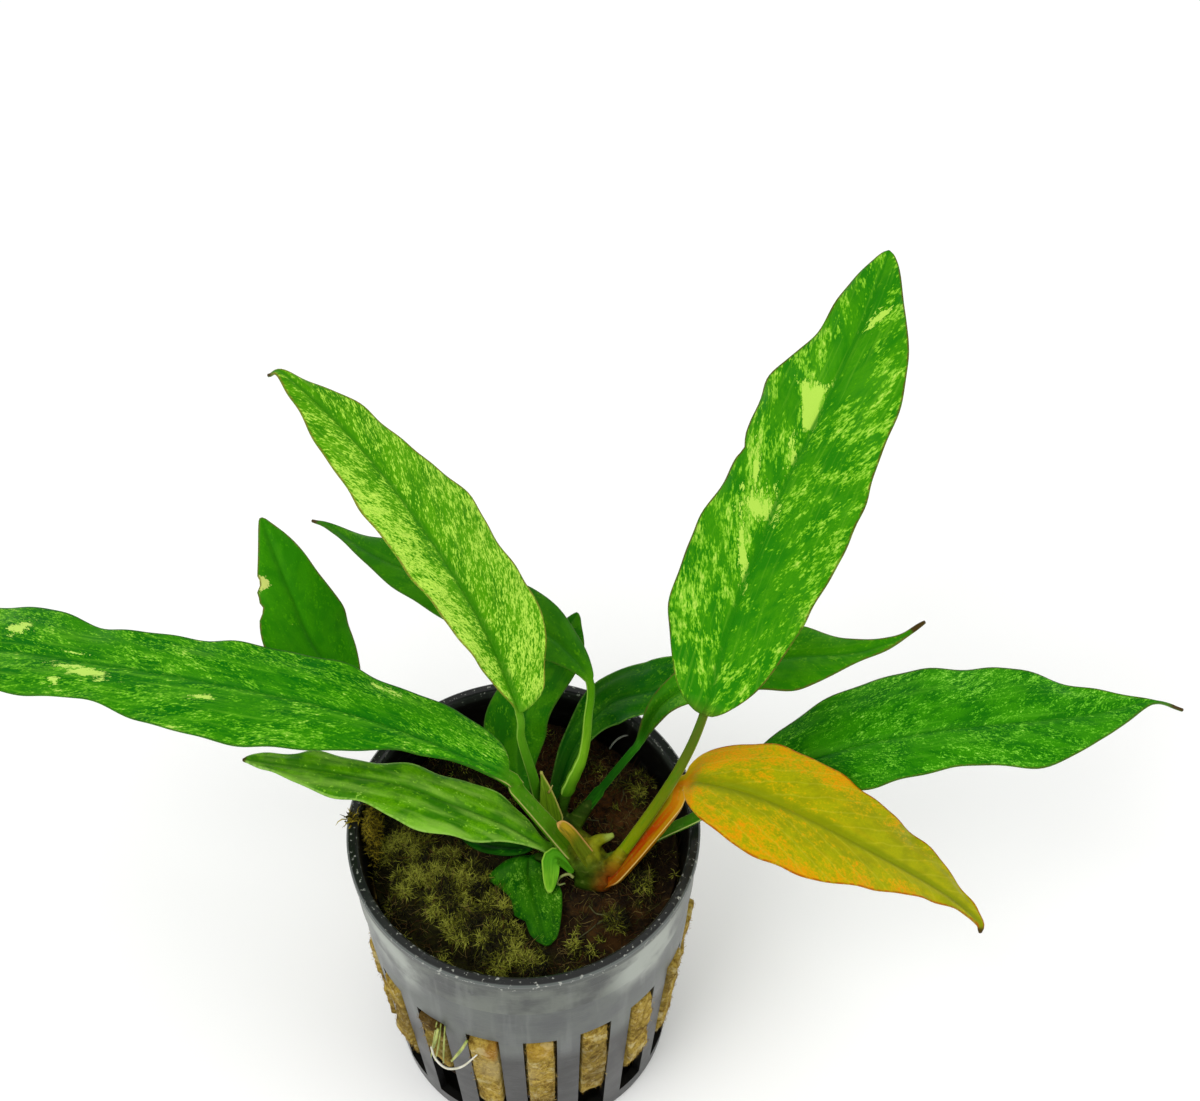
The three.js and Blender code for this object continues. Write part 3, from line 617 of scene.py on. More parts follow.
class Finish:
    """A material's nodes, with one short call for each kind; colours may be written 0xRRGGBB."""

    def __init__(self, name, own_colour=tone, **shader):
        self.own_colour = own_colour
        self.material = bpy.data.materials.new(name)
        self.material.use_nodes = True
        self.tree = self.material.node_tree
        self.tree.nodes.clear()
        self.shader = self.add("BsdfPrincipled")
        output = self.add("OutputMaterial")
        self.tree.links.new(self.shader.outputs["BSDF"], output.inputs["Surface"])
        for key, value in shader.items():
            self.shader.inputs[key.replace("_", " ")].default_value = value

    def put(self, socket, value):
        if isinstance(value, bpy.types.NodeSocket):
            self.tree.links.new(value, socket)
        elif value is not None:
            socket.default_value = value

    def add(self, kind, *values, **settings):
        """A new node with its settings and its first inputs."""
        node = self.tree.nodes.new("ShaderNode" + kind)
        for key, value in settings.items():
            setattr(node, key, value)
        for socket, value in zip(node.inputs, values):
            self.put(socket, value)
        return node

    def attribute(self, name):
        return self.add("Attribute", attribute_name=name).outputs["Vector"]

    def position(self):
        return self.add("TexCoord").outputs["Object"]

    def parts(self, vector):
        return self.add("SeparateXYZ", vector).outputs

    def millimetres(self):
        return self.parts(self.scaled(self.position(), (1 / MM, 1 / MM, 1 / MM)))

    def combine(self, x, y, z=0.0):
        return self.add("CombineXYZ", x, y, z).outputs[0]

    def math(self, operation, *values):
        return self.add("Math", *values, operation=operation).outputs[0]

    def times(self, a, b):
        return self.math("MULTIPLY", a, b)

    def plus_times(self, level, value, weight, middle=0.5):
        """A level, and a weight times what the value is above its middle."""
        return self.math("MULTIPLY_ADD", self.math("SUBTRACT", value, middle), weight, level)

    def scaled(self, vector, scale):
        return self.add("VectorMath", vector, scale, operation="MULTIPLY").outputs[0]

    def noise(self, vector, scale=1.0, detail=4.0, roughness=0.55):
        node = self.add("TexNoise", vector)
        for key, value in (("Scale", scale), ("Detail", detail), ("Roughness", roughness)):
            self.put(node.inputs[key], value)
        return node.outputs[0]

    def ramp(self, value, low, high, to_low=0.0, to_high=1.0):
        node = self.add("MapRange", value, low, high, to_low, to_high, interpolation_type="SMOOTHSTEP")
        return node.outputs[0]

    def mix(self, share, a, b):
        node = self.add("Mix", share, data_type="RGBA")
        for socket, value in zip(node.inputs[6:8], (a, b)):
            self.put(socket, self.own_colour(value) if isinstance(value, int) else value)
        return node.outputs[2]

    def over(self, colour, other, *shares):
        """A colour with another over it, as strong as the shares multiplied."""
        return self.mix(functools.reduce(self.times, shares), colour, other)

    def coats(self, colour, *coats):
        """A colour under others: each one's value, its bounds, its strength and the other colour."""
        for value, low, high, strength, other in coats:
            colour = self.over(colour, other, self.ramp(value, low, high), strength)
        return colour

    def bump(self, height, distance, strength, under=None):
        node = self.add("Bump")
        for key, value in (("Strength", strength), ("Distance", distance * MM), ("Height", height),
                           ("Normal", under)):
            self.put(node.inputs[key], value)
        return node.outputs[0]

    def near(self, place, reach):
        """1 at a place in millimetres, falling to 0 at reach from it."""
        point = tuple(value * MM for value in place)
        node = self.add("VectorMath", self.position(), point, operation="DISTANCE")
        return self.ramp(node.outputs["Value"], reach * MM, 0.4 * reach * MM)

    def finish(self, colour, roughness=None, normal=None):
        for key, value in (("Base Color", colour), ("Roughness", roughness), ("Normal", normal)):
            self.put(self.shader.inputs[key], value)
        return self.material


# Looks of the leaves. Dark, body and middle are the blade's greens, light its flecks and pale its
# solid spots; margin is its rim, edge the petiole's crests and stem the petiole from base to blade.
# Fleck is the share of the blade with flecks; cloud is how much they gather, blotch how much the
# larger ones do, and rim and fade how much more of them the margins and the base have. Grain is how
# fine they are, stretch how long and soft how blurred. Streaks run lengthwise in the light green:
# the leaf's own lines, and painted sheen where they are strong, as on the lower left leaf. Their
# numbers are strength, fineness and the bounds of the noise they come from. Rib is the midrib line's
# half-width and strength, veins the strength and tone of the side veins, dry where the dead tip
# starts, and shade the light that the leaf stands in. Light_along changes that light: between two
# places, from one share to another. A trough is a petiole with tones for its left strip, its hollow,
# its right strip and its underside.
PLAIN = dict(fleck=0.06, cloud=0.3, blotch=0, rim=0, fade=0, grain=0.8, stretch=1, soft=1,
             streaks=(0.15, 2.2, 0.55, 0.66), rib=(0.4, 0.7), rib_tone=None, veins=None, dry=0,
             shade=0.85, light_along=(), trough=None)
GREENS = ("dark", "body", "middle", "light", "pale", "margin", "edge")


def leaf_look(codes, **more):
    """A leaf's look: the tones of GREENS, three for its petiole, and whatever isn't plain."""
    tones = [int(code, 16) for code in codes.split()]
    return {**PLAIN, **dict(zip(GREENS, tones)), "stem": tones[len(GREENS):], **more}


LOOKS = {
    "leaf_tall": leaf_look(
        "338a00 4ca00c 6cbc1a 9ee33d cbf85f 6a5028 a0a848 94a010 78861c 606e25",
        fleck=0.3, blotch=0.26, rim=0.04, grain=1.1, stretch=2, soft=2, rib=(0.45, 0.85), shade=0.66),
    "leaf_upper_left": leaf_look(
        "3e8206 589e0e 71b11e b8e650 c8ee5c 7a6a2a 96be50 3c6e0f 508c1e 5c9420",
        fleck=0.47, cloud=0.15, rim=0.04, fade=0.05, grain=1.9, stretch=2.4, soft=2, rib=(0.6, 0.9),
        dry=0.98, shade=0.82),
    "leaf_long_left": leaf_look(
        "1c6400 3a840a 4a960c 76be2c bee164 33581c beb46e 5a7814 528218 467c14",
        fleck=0.33, cloud=0.26, rim=0.02, grain=1.8, stretch=2.6, soft=1.7, streaks=(0.3, 1.6, 0.5, 0.7),
        shade=0.9),
    "leaf_lower_left": leaf_look(
        "366e02 5c9810 68a218 94c04c 96be50 8cb450 90b458 3c6410 4c7c18 4c7c18",
        fleck=0.02, cloud=0.1, streaks=(0.65, 0.7, 0.4, 0.8), dry=0.982, shade=1.0),
    "leaf_yellow": leaf_look(
        "949406 a6a408 b8aa0a d2a20f e09410 a8500c e8c878", fleck=0.42, cloud=0.5,
        rim=0.17, fade=0.16, grain=0.7, soft=6, veins=(0.16, 0xd8c83c), streaks=(0.15, 1.2, 0.45, 0.7),
        rib=(1.1, 0.75), rib_tone=0x7c8408, dry=0.978, shade=0.86,
        trough=dict(left=(0x8c5a10, 0xa88c18, 0xb89c18), hollow=(0x8a2c06, 0xb43c04, 0xd07c10),
                    right=(0x98480c, 0xc47a14, 0xd09420), under=0xa86a14)),
    "leaf_long_right": leaf_look(
        "206204 368006 40900b 70ba30 a5dc5f 4a5020 bec878 466e1e 42701a 386c14",
        fleck=0.32, cloud=0.18, rim=0.02, grain=1.9, stretch=1.6, soft=1.6, rib=(0.4, 0.35), dry=0.958,
        shade=1.04, light_along=[(0.05, 0.4, 0.68, 1.0)]),
    "leaf_twisted": leaf_look(
        "2e7102 3e7f08 4a8a0c 5c9424 5c9424 5a5024 3c6e22 162e05 183808 1c4208",
        dry=0.94, shade=1.15, light_along=[(0.04, 0.3, 0.32, 1.0)]),
    "leaf_back_right": leaf_look(
        "1e5204 2c600a 386e0e 4b7e1c 4b7e1c 5c8434 5c942c 1e4a08 24540c 24540c",
        shade=0.82, light_along=[(0.02, 0.35, 0.5, 1.0), (0.5, 0.68, 1.0, 1.25)]),
    "leaf_arched": leaf_look(
        "2d6603 397307 427c0a 4b840f 4b840f 3c5a1c a0c850 2c560c 6ea020 4c8414",
        dry=0.97, shade=0.95),
    "leaf_back_centre": leaf_look(
        "215803 386f10 427a14 4b8219 4b8219 3c5a1c 549030 245010 346c14 346c14",
        shade=1.1),
    "leaf_back_left": leaf_look(
        "307903 3b8606 428e08 4a950b c8d070 6a6030 609c30 245010 387414 387414",
        shade=0.9),
    "leaf_small_front": leaf_look(
        "1d4504 32640a 3c700e 5b8c29 84ac40 24480e 447820 28500c 28580c 28580c",
        fleck=0.22, rim=0.03, grain=1.5, rib=(0.3, 0.4), shade=0.95),
    # Painted shade: the small left leaf lies under the others, so its greens are very dark
    "leaf_small_left": leaf_look(
        "0e2c02 1c4a06 285a0c 366c18 366c18 1c380c 30641a 1c3c08 1c4808 1c4808",
        shade=1.0),
}
# Solid pale spots: distance along and across the blade, half-length, half-width, turn and taper
PATCHES = {
    "leaf_tall": [(43.8, 1.35, 2.9, 1.25, 0.34, 0.5), (29.3, 1.9, 1.5, 1.9, 0.3, 0),
                  (22.7, 1.6, 3.6, 0.5, 0.4, 0), (33.6, 4.4, 2.8, 0.35, 0.37, 0),
                  (37.2, 0.9, 1.6, 0.5, 0.3, 0), (57.3, -1.7, 1.6, 0.5, -0.42, 0)],
    "leaf_long_left": [(73.1, -3.7, 1.1, 0.9, 0.2, 0), (61, 1.7, 2.8, 0.6, -0.1, 0),
                       (64, 4, 0.7, 0.35, 0, 0), (42.9, 2.9, 1.1, 0.35, 0.2, 0),
                       (19.5, -5.2, 1.7, 0.3, -0.1, 0), (63.4, -1, 1.7, 0.16, 0, 0)],
    "leaf_back_left": [(25.2, 3.2, 0.8, 0.6, 0, 0)],
}
# Parts of a blade with fewer or more flecks: distance along and across, half-length, half-width,
# and how much the flecks' level changes there
ZONES = {
    "leaf_tall": [(20, -3.8, 9, 2.6, -0.06), (50.5, -0.8, 5, 3, -0.08), (42, 4.3, 3.4, 1.9, -0.1),
                  (17, 5.5, 8, 3.2, 0.03), (31, 4, 5, 3, 0.02)],
    "leaf_upper_left": [(26, 4.6, 17, 2.4, 0.06)],
    "leaf_yellow": [(12, 7.4, 13, 3.2, 0.04), (16, -7.6, 15, 3, 0.05), (1, 0, 4, 6, 0.06)],
}


def reach_of(f, distance, across, spot, taper=0):
    """1 on the outline of a spot on a blade, less inside it and more outside."""
    at, off, half_length, half_width, turn = spot
    dx, dy = f.math("SUBTRACT", distance, at), f.math("SUBTRACT", across, off)
    cos, sin = math.cos(turn), math.sin(turn)
    px = f.math("MULTIPLY_ADD", dx, cos / half_length, f.times(dy, sin / half_length))
    py = f.math("MULTIPLY_ADD", dx, -sin / half_width, f.times(dy, cos / half_width))
    if taper:
        py = f.math("DIVIDE", py, f.math("MAXIMUM", f.math("MULTIPLY_ADD", px, taper, 1.0), 0.2))
        return f.math("MAXIMUM", f.math("ABSOLUTE", px), f.math("ABSOLUTE", py))
    return f.math("SQRT", f.math("MULTIPLY_ADD", px, px, f.times(py, py)))


def stem_colour(f, look, distance, across, u, run, face, seed):
    """A petiole's colour: three tones from its base up, fine lines and lighter edges."""
    lower, upper = f.ramp(run, -0.95, -0.45), f.ramp(run, -0.5, -0.05)

    def blend(codes):
        return f.mix(upper, f.mix(lower, codes[0], codes[1]), codes[2])

    lines = f.noise(f.combine(f.times(distance, 0.22), f.times(across, 2.6), seed), roughness=0.65)
    spots = f.noise(f.combine(distance, across, seed), 1.5, 3)
    on_top = f.math("GREATER_THAN", face, 0)
    trough = look["trough"]
    if trough:
        colour = f.mix(on_top, trough["under"], blend(trough["right"]))
        colour = f.over(colour, blend(trough["left"]), f.ramp(u, 0.3, 0.5), on_top)
        hollow = f.times(f.ramp(u, -0.55, -0.3), f.ramp(u, 0.5, 0.3))
        colour = f.over(colour, blend(trough["hollow"]), hollow, on_top)
    else:
        colour = blend(look["stem"])
    colour = f.coats(colour, (lines, 0.55, 0.3, 0.4, look["dark"]),
                     (spots, 0.55, 0.75, 0.12, look["edge"]))
    crest = f.ramp(f.math("ABSOLUTE", u), 0.88, 0.96)
    return f.over(colour, look["edge"], crest, on_top, f.ramp(run, -0.97, -0.85), 0.75)


def leaf_finish(name, look):
    """A leaf: crisp flecks that follow its veins, a darker midrib and margin, and a petiole."""
    f = Finish(name, lambda code: leaf_tone(code, look["shade"]), Specular_IOR_Level=0.16,
               Specular_Tint=LEAF_SHEEN)
    seed = sum(map(ord, name)) * 0.37
    distance, across, u = f.parts(f.attribute("place"))
    outward, forward, from_edge = f.parts(f.attribute("vein"))
    run, stem, face = f.parts(f.attribute("facts"))
    flow = f.combine(f.times(outward, 0.9 / look["stretch"]), f.times(forward, 1.3),
                     f.math("MULTIPLY_ADD", f.math("SIGN", across), 9, seed))
    clumps = f.noise(flow, 0.55 * look["grain"], 2)
    grains = f.noise(flow, 1.9 * look["grain"], 2, 0.6)
    fine = f.noise(flow, 4.5 * look["grain"], 2)
    broad = f.noise(flow, 0.35, 3)
    cloud = f.noise(f.combine(f.times(distance, 0.12), f.times(across, 0.2), seed), 1, 3, 0.6)

    level = f.math("MULTIPLY_ADD", grains, 0.42, f.times(clumps, 0.28))
    level = f.math("MULTIPLY_ADD", fine, 0.3, level)
    for value, weight in ((cloud, look["cloud"]), (clumps, look["blotch"]),
                          (f.math("ABSOLUTE", u), look["rim"]), (run, -look["fade"])):
        if weight:
            level = f.plus_times(level, value, weight)
    for *zone, change in ZONES.get(name, []):
        inside = f.ramp(reach_of(f, distance, across, (*zone, 0)), 1.3, 0.6)
        level = f.math("MULTIPLY_ADD", inside, change, level)
    threshold = 0.5 + (0.5 - look["fleck"]) * 0.22
    colour = f.mix(f.ramp(broad, 0.4, 0.6), look["dark"], look["body"])
    for key, above in (("middle", -0.045), ("light", 0), ("pale", 0.07)):
        bound = threshold + above
        colour = f.mix(f.ramp(level, bound, bound + 0.03 * look["soft"]), colour, look[key])
    # Lengthwise light streaks: the leaf's own lines, and painted sheen where they are strong
    strength, fineness, low, high = look["streaks"]
    streaks = f.noise(f.combine(f.times(distance, 0.1), f.times(across, fineness), seed), 1, 3)
    colour = f.coats(colour, (fine, 0.62, 0.36, 0.4, look["dark"]),
                     (streaks, low, high, strength, look["light"]))
    if look["veins"]:
        wander = f.plus_times(forward, clumps, 0.9)
        wave = f.math("SINE", f.times(wander, 2 * math.pi / VEIN_PITCH))
        colour = f.coats(colour, (wave, 0.88, 1, *look["veins"]))
    if name in PATCHES:
        ragged = f.times(f.math("SUBTRACT", f.math("ADD", grains, fine), 1), 3)
        ragged = f.plus_times(ragged, clumps, 4.5)
        for *spot, taper in PATCHES[name]:
            rough = f.times(ragged, 0.3) if taper else ragged
            reach = f.math("ADD", reach_of(f, distance, across, spot, taper), rough)
            colour = f.mix(f.ramp(reach, 1.05, 0.95), colour, look["pale"])
    rib_width, rib_strength = look["rib"]
    width = f.ramp(run, 0, 1, rib_width, 0.4 * rib_width)
    rib = f.math("DIVIDE", f.math("ABSOLUTE", across), width)
    colour = f.coats(colour, (rib, 1.5, 0.4, rib_strength, look["rib_tone"] or look["dark"]))
    worn = f.ramp(grains, 0.35, 0.55, 0.3, 1)
    colour = f.over(colour, look["margin"], f.ramp(from_edge, 0.32, 0.14), worn, 0.85)
    if look["dry"]:
        colour = f.mix(f.ramp(run, look["dry"], look["dry"] + 0.015), colour, tone(DRY_TIP))
    for low, high, dim, bright in look["light_along"]:
        colour = f.scaled(colour, f.combine(*[f.ramp(run, low, high, dim, bright)] * 3))
    colour = f.mix(f.math("LESS_THAN", face, 0), colour, f.mix(0.45, colour, look["body"]))
    colour = f.mix(stem, colour, stem_colour(f, look, distance, across, u, run, face, seed))
    pores = f.noise(f.combine(distance, across, seed), 5, 3)
    normal = f.bump(pores, distance=0.03, strength=0.4, under=f.bump(clumps, distance=0.1, strength=0.6))
    return f.finish(colour, f.ramp(fine, 0.3, 0.7, 0.36, 0.5), normal)


def sheath_finish(name, body, tip, dark, rim):
    """A thin sheath with lengthwise lines; its rim is papery on the right and at the tip."""
    f = Finish(name, Roughness=0.42, Specular_IOR_Level=0.25, Specular_Tint=LEAF_SHEEN)
    distance, across, u = f.parts(f.attribute("place"))
    _, _, from_edge = f.parts(f.attribute("vein"))
    run, _, face = f.parts(f.attribute("facts"))
    lines = f.noise(f.combine(f.times(distance, 0.3), f.times(across, 4)))
    colour = f.mix(f.ramp(run, 0.5, 0.8), body, tip)
    colour = f.coats(colour, (lines, 0.6, 0.35, 0.7, dark))
    colour = f.over(colour, dark, f.math("LESS_THAN", face, 0), 0.5)
    papery = f.times(f.ramp(from_edge, 0.3, 0.15), f.math("LESS_THAN", u, 0))
    papery = f.math("MAXIMUM", papery, f.ramp(run, 0.93, 0.98))
    return f.finish(f.mix(papery, colour, rim), None, f.bump(lines, distance=0.08, strength=0.7))


def rhizome_finish():
    """An olive stem with the tones of the petioles that leave it, fine ring scars and a pale bud."""
    f = Finish("rhizome", Roughness=0.5, Specular_IOR_Level=0.25, Specular_Tint=LEAF_SHEEN)
    spots = f.noise(f.position(), 600)
    lines = f.noise(f.scaled(f.position(), (700, 700, 2200)))
    colour = f.coats(f.attribute("tint"), (spots, 0.6, 0.35, 0.6, 0x141c02))
    colour = f.over(colour, 0xa4b850, f.near(BUD["points"][-1], 1.9), 0.8)
    colour = f.coats(colour, (lines, 0.55, 0.72, 0.2, 0xa0a850))
    return f.finish(colour, None, f.bump(lines, distance=0.12, strength=0.6))


# Places on the pot's collar with a painted reflection, and how far each reaches
PAINTED_REFLECTIONS = [((-18.5, -16, 48), 9), ((18, -17, 49), 9)]


def pot_finish():
    """Dark moulded plastic, with painted highlight streaks and painted reflections outside, near black
    inside as painted shade, and scuffed on its rim.
    """
    f = Finish("pot_plastic", Specular_IOR_Level=0.4)
    x, y, z = f.millimetres()
    place = f.position()
    radius = f.math("SQRT", f.math("MULTIPLY_ADD", x, x, f.times(y, y)))
    cloudy = f.noise(place, 140, 5)
    specks = f.noise(place, 1500, 3, 0.6)
    scratches = f.noise(f.scaled(place, (250, 250, 2600)), 1, 5, 0.7)
    # Painted highlights: light upright streaks on the outside
    highlight_streaks = f.noise(f.scaled(place, (500, 500, 40)), 1, 3)
    outer = f.mix(f.ramp(cloudy, 0.36, 0.62), 0x2c312e, 0x666c62)
    outer = f.coats(outer, (z, COLLAR_FOOT + 0.4, COLLAR_FOOT - 0.4, 0.5, 0x464b4c),
                    (highlight_streaks, 0.52, 0.7, 0.3, 0x7c817c))
    # Painted reflections: lighter patches at the collar's left and right
    for reflection in PAINTED_REFLECTIONS:
        outer = f.over(outer, 0xa4aaa0, f.near(*reflection), f.ramp(cloudy, 0.3, 0.6))
    # Painted shade: inside the wall's top radius the plastic is near black
    colour = f.mix(f.ramp(radius, WALL_TOP_RADIUS - 0.6, WALL_TOP_RADIUS - 0.2), 0x0a0a08, outer)
    # The rim: its side, the groove under it with painted shade, its top and its worn upper edge
    on_rim = f.ramp(z, RIM_FOOT - 0.05, RIM_FOOT + 0.5)
    colour = f.over(colour, 0x3a403a, on_rim, 0.85)
    # Painted shade: the groove under the rim is near black
    groove = f.times(f.ramp(z, RIM_FOOT - 0.65, RIM_FOOT - 0.45),
                     f.ramp(z, RIM_FOOT + 0.05, RIM_FOOT - 0.15))
    colour = f.over(colour, 0x161817, groove, 0.8)
    colour = f.mix(f.ramp(z, POT_HEIGHT - 0.4, POT_HEIGHT - 0.1), colour, 0x121412)
    edge = f.times(f.ramp(radius, RIM_RADIUS - 0.3, RIM_RADIUS - 0.15),
                   f.ramp(z, POT_HEIGHT - 0.7, POT_HEIGHT - 0.4))
    colour = f.mix(edge, colour, 0x5c625e)
    colour = f.over(colour, 0xb4b6ac, f.ramp(specks, 0.6, 0.67), on_rim, 0.75)
    colour = f.coats(colour, (scratches, 0.58, 0.75, 0.2, 0x8c918c))
    soft_bumps = f.bump(cloudy, distance=0.25, strength=0.35)
    normal = f.bump(scratches, distance=0.04, strength=0.5, under=soft_bumps)
    return f.finish(colour, f.ramp(cloudy, 0.3, 0.7, 0.3, 0.42), normal)


# Places on the wool's side with a tone of their own: place, reach, share and tone. Most are stains;
# the near-black one is painted shade in the hollow below the roots, and the dark brown one above it
# is a brown stain with painted shade.
STAINS_AND_SHADE = [((-12.8, -18.8, 34), 5, 0.85, 0x3a200a), ((-12, -17.6, 11.5), 9, 0.97, 0x160906),
          ((-12, -19.5, 25), 6, 0.5, 0x5c5418), ((-20, -13, 24), 7, 0.5, 0x4a3818),
          ((12, -21, 18), 6, 0.55, 0x3a2a10), ((2, -24, 14), 6, 0.4, 0x4a3414),
          ((21, -11, 30), 6, 0.5, 0x5c4a1e), ((-3, -24, 33), 4, 0.5, 0xb8741c),
          ((-3, -24, 26), 6, 0.5, 0xd8c488), ((2.3, -23.8, 33.5), 4, 0.35, 0xd0a028),
          ((10.3, -21.4, 27), 7, 0.45, 0x4a3a14)]
# The brown lumps of the wool's top: their middle and reach
LUMPS = ((6, 9, 49.5), 14)


def wool_finish():
    """Ochre mineral fibre, stained and with painted shade in places, dark brown and mossy on top."""
    f = Finish("rock_wool", Roughness=0.95, Specular_IOR_Level=0.15)
    x, y, z = f.millimetres()
    place = f.position()
    mat = f.noise(place, 1100, 7, 0.75)
    clumps = f.noise(place, 170)
    patches = f.noise(place, 380, 5, 0.65)
    golden = f.mix(f.ramp(mat, 0.34, 0.66), 0x80621e, 0xd8ba56)
    golden = f.coats(golden, (clumps, 0.5, 0.72, 0.5, 0x8a7a30), (patches, 0.52, 0.64, 0.65, 0xe8d89c),
                     (patches, 0.46, 0.34, 0.7, 0x5a4010))
    # Stains, and painted shade at the darkest places
    for tone_place, reach, share, code in STAINS_AND_SHADE:
        golden = f.over(golden, code, f.near(tone_place, reach), share)
    # Painted shade: the side darkens towards the wool's foot
    golden = f.coats(golden, (z, WOOL_FOOT + 5, WOOL_FOOT, 0.7, 0x2c1c0a))
    brown = f.mix(f.ramp(mat, 0.34, 0.68), 0x120a04, 0x3a280e)
    brown = f.coats(brown, (clumps, 0.52, 0.66, 0.6, 0x5a3a14))
    brown = f.over(brown, 0x6a3c14, f.near(*LUMPS), f.ramp(mat, 0.4, 0.62), 0.6)
    green = f.mix(f.ramp(mat, 0.34, 0.66), 0x121002, 0x34330a)
    lean = f.math("SUBTRACT", f.times(clumps, 24), f.math("MULTIPLY_ADD", y, 0.45, x))
    top = f.mix(f.ramp(lean, 10, 20), brown, green)
    colour = f.mix(f.ramp(z, *WOOL_TURN), golden, top)
    return f.finish(colour, None, f.bump(mat, distance=0.6, strength=0.9))


def strand_finish(name, *codes):
    """Fibres in several tones; each has its own, and all are darker at the root, as painted shade."""
    f = Finish(name, Roughness=0.75, Specular_IOR_Level=0.2)
    shade, along, _ = f.parts(f.attribute("strand"))
    colour = tone(codes[0])
    for i, code in enumerate(codes[1:], 1):
        bound = i / len(codes)
        colour = f.mix(f.ramp(shade, bound - 0.1, bound + 0.1), colour, code)
    # Painted shade: each fibre darkens towards its root
    return f.finish(f.coats(colour, (along, 0.5, 0, 0.5, codes[0])))


def root_finish(name, low, high):
    f = Finish(name, Roughness=0.5, Subsurface_Weight=0.1, Specular_IOR_Level=0.4)
    grain = f.noise(f.scaled(f.position(), (900, 900, 300)))
    colour = f.mix(f.ramp(grain, 0.35, 0.65), low, high)
    return f.finish(colour, None, f.bump(grain, distance=0.08, strength=0.6))


# Pot

def slot_angle(i):
    return SLOT_START + i * SLOT_PITCH


def wall_radius(z):
    return BASE_RADIUS + (WALL_TOP_RADIUS - BASE_RADIUS) * z / SLOT_TOP


def pot_profiles():
    """Outer and inner outlines as radius and height, with matching rows along the slots."""
    heights = [SLOT_FOOT + (SLOT_TOP - SLOT_FOOT) * k / SLOT_ROWS for k in range(SLOT_ROWS + 1)]
    thicker, above = WALL_BAND
    outer = [(BASE_RADIUS - FOOT_CHAMFER, 0), (BASE_RADIUS, FOOT_CHAMFER)]
    outer += [(wall_radius(z), z) for z in heights]
    outer += [(WALL_TOP_RADIUS + thicker, SLOT_TOP + above), (WALL_TOP_RADIUS + thicker, COLLAR_FOOT),
              (COLLAR_RADIUS, COLLAR_FOOT + STEP_SLOPE)]
    outer += [(COLLAR_RADIUS + extra, z) for extra, z in COLLAR_SIDE]
    outer += [(RIM_RADIUS, RIM_FOOT), (RIM_RADIUS, POT_HEIGHT - RIM_ROUND),
              (RIM_RADIUS - RIM_ROUND, POT_HEIGHT)]
    inner = [(wall_radius(FLOOR) - WALL, FLOOR)] + [(wall_radius(z) - WALL, z) for z in heights]
    inner += [(WALL_TOP_RADIUS - WALL, COLLAR_FOOT), (RIM_RADIUS - RIM_WIDTH, POT_HEIGHT - RIM_ROUND),
              (RIM_RADIUS - RIM_WIDTH + RIM_ROUND, POT_HEIGHT)]
    return outer, inner


def pot_piece():
    """The pot as one turned skin that is left open at the slots, with a rim round each of them."""
    outer, inner = pot_profiles()
    profile = outer + inner[::-1]
    steps = [SLOT_ANGLE * k / SLOT_COLUMNS for k in range(SLOT_COLUMNS)]
    steps += [SLOT_ANGLE + (SLOT_PITCH - SLOT_ANGLE) * k / RIB_COLUMNS for k in range(RIB_COLUMNS)]
    angles = [slot_angle(i) - SLOT_ANGLE / 2 + step for i in range(SLOT_COUNT) for step in steps]
    points = [(r * math.sin(a), -r * math.cos(a), z) for r, z in profile for a in angles]
    points += [(0, 0, 0), (0, 0, FLOOR)]
    rows, count, group = len(profile), len(angles), len(steps)
    faces = []

    def at(row, column):
        return row * count + column % count

    for row in range(rows - 1):
        slotted = row - 2 in range(SLOT_ROWS) or rows - 3 - row in range(SLOT_ROWS)
        for j in range(count):
            if not (slotted and j % group < SLOT_COLUMNS):
                faces.append([at(row, j), at(row, j + 1), at(row + 1, j + 1), at(row + 1, j)])
    # Row k of the slots is row 2 + k of the profile outside and row rows - 2 - k inside
    for first in range(0, count, group):
        last = first + SLOT_COLUMNS
        loop = [(0, j) for j in range(first, last)] + [(k, last) for k in range(SLOT_ROWS)]
        loop += [(SLOT_ROWS, j) for j in range(last, first, -1)]
        loop += [(k, first) for k in range(SLOT_ROWS, 0, -1)]
        for (k, a), (n, b) in zip(loop, loop[1:] + loop[:1]):
            faces.append([at(2 + k, a), at(2 + n, b), at(rows - 2 - n, b), at(rows - 2 - k, a)])
    for j in range(count):
        faces.append([len(points) - 2, at(0, j + 1), at(0, j)])
        faces.append([len(points) - 1, at(rows - 1, j), at(rows - 1, j + 1)])
    pot = make_piece("net_pot", points, faces)
    cutter = drain_cutter()
    alter(pot, "drains", "BOOLEAN", object=cutter, operation="DIFFERENCE", solver="EXACT")
    alter(pot, "edges", "BEVEL", width=EDGE_BEVEL * MM, segments=2, limit_method="ANGLE",
          angle_limit=BEVEL_ANGLE, harden_normals=True)
    alter(pot, "weld", "WELD", merge_threshold=WELD_GAP * MM)
    settle(pot)
    bpy.data.objects.remove(cutter)
    return pot


def drain_cutter():
    parts = []
    half = DRAIN_WIDTH / 2
    for turn in np.arange(DRAIN_COUNT) * 2 * math.pi / DRAIN_COUNT:
        cos, sin = math.cos(turn), math.sin(turn)
        ends = (DRAIN_INNER, -half), (DRAIN_OUTER, -half), (DRAIN_OUTER, half), (DRAIN_INNER, half)
        corners = [(r * cos - w * sin, r * sin + w * cos, z) for z in (-FLOOR, 2 * FLOOR) for r, w in ends]
        parts.append((np.array(corners), ring_faces(2, 4)))
    return make_piece("drain_cutter", *joined(parts))


# Rock wool, moss and fibres

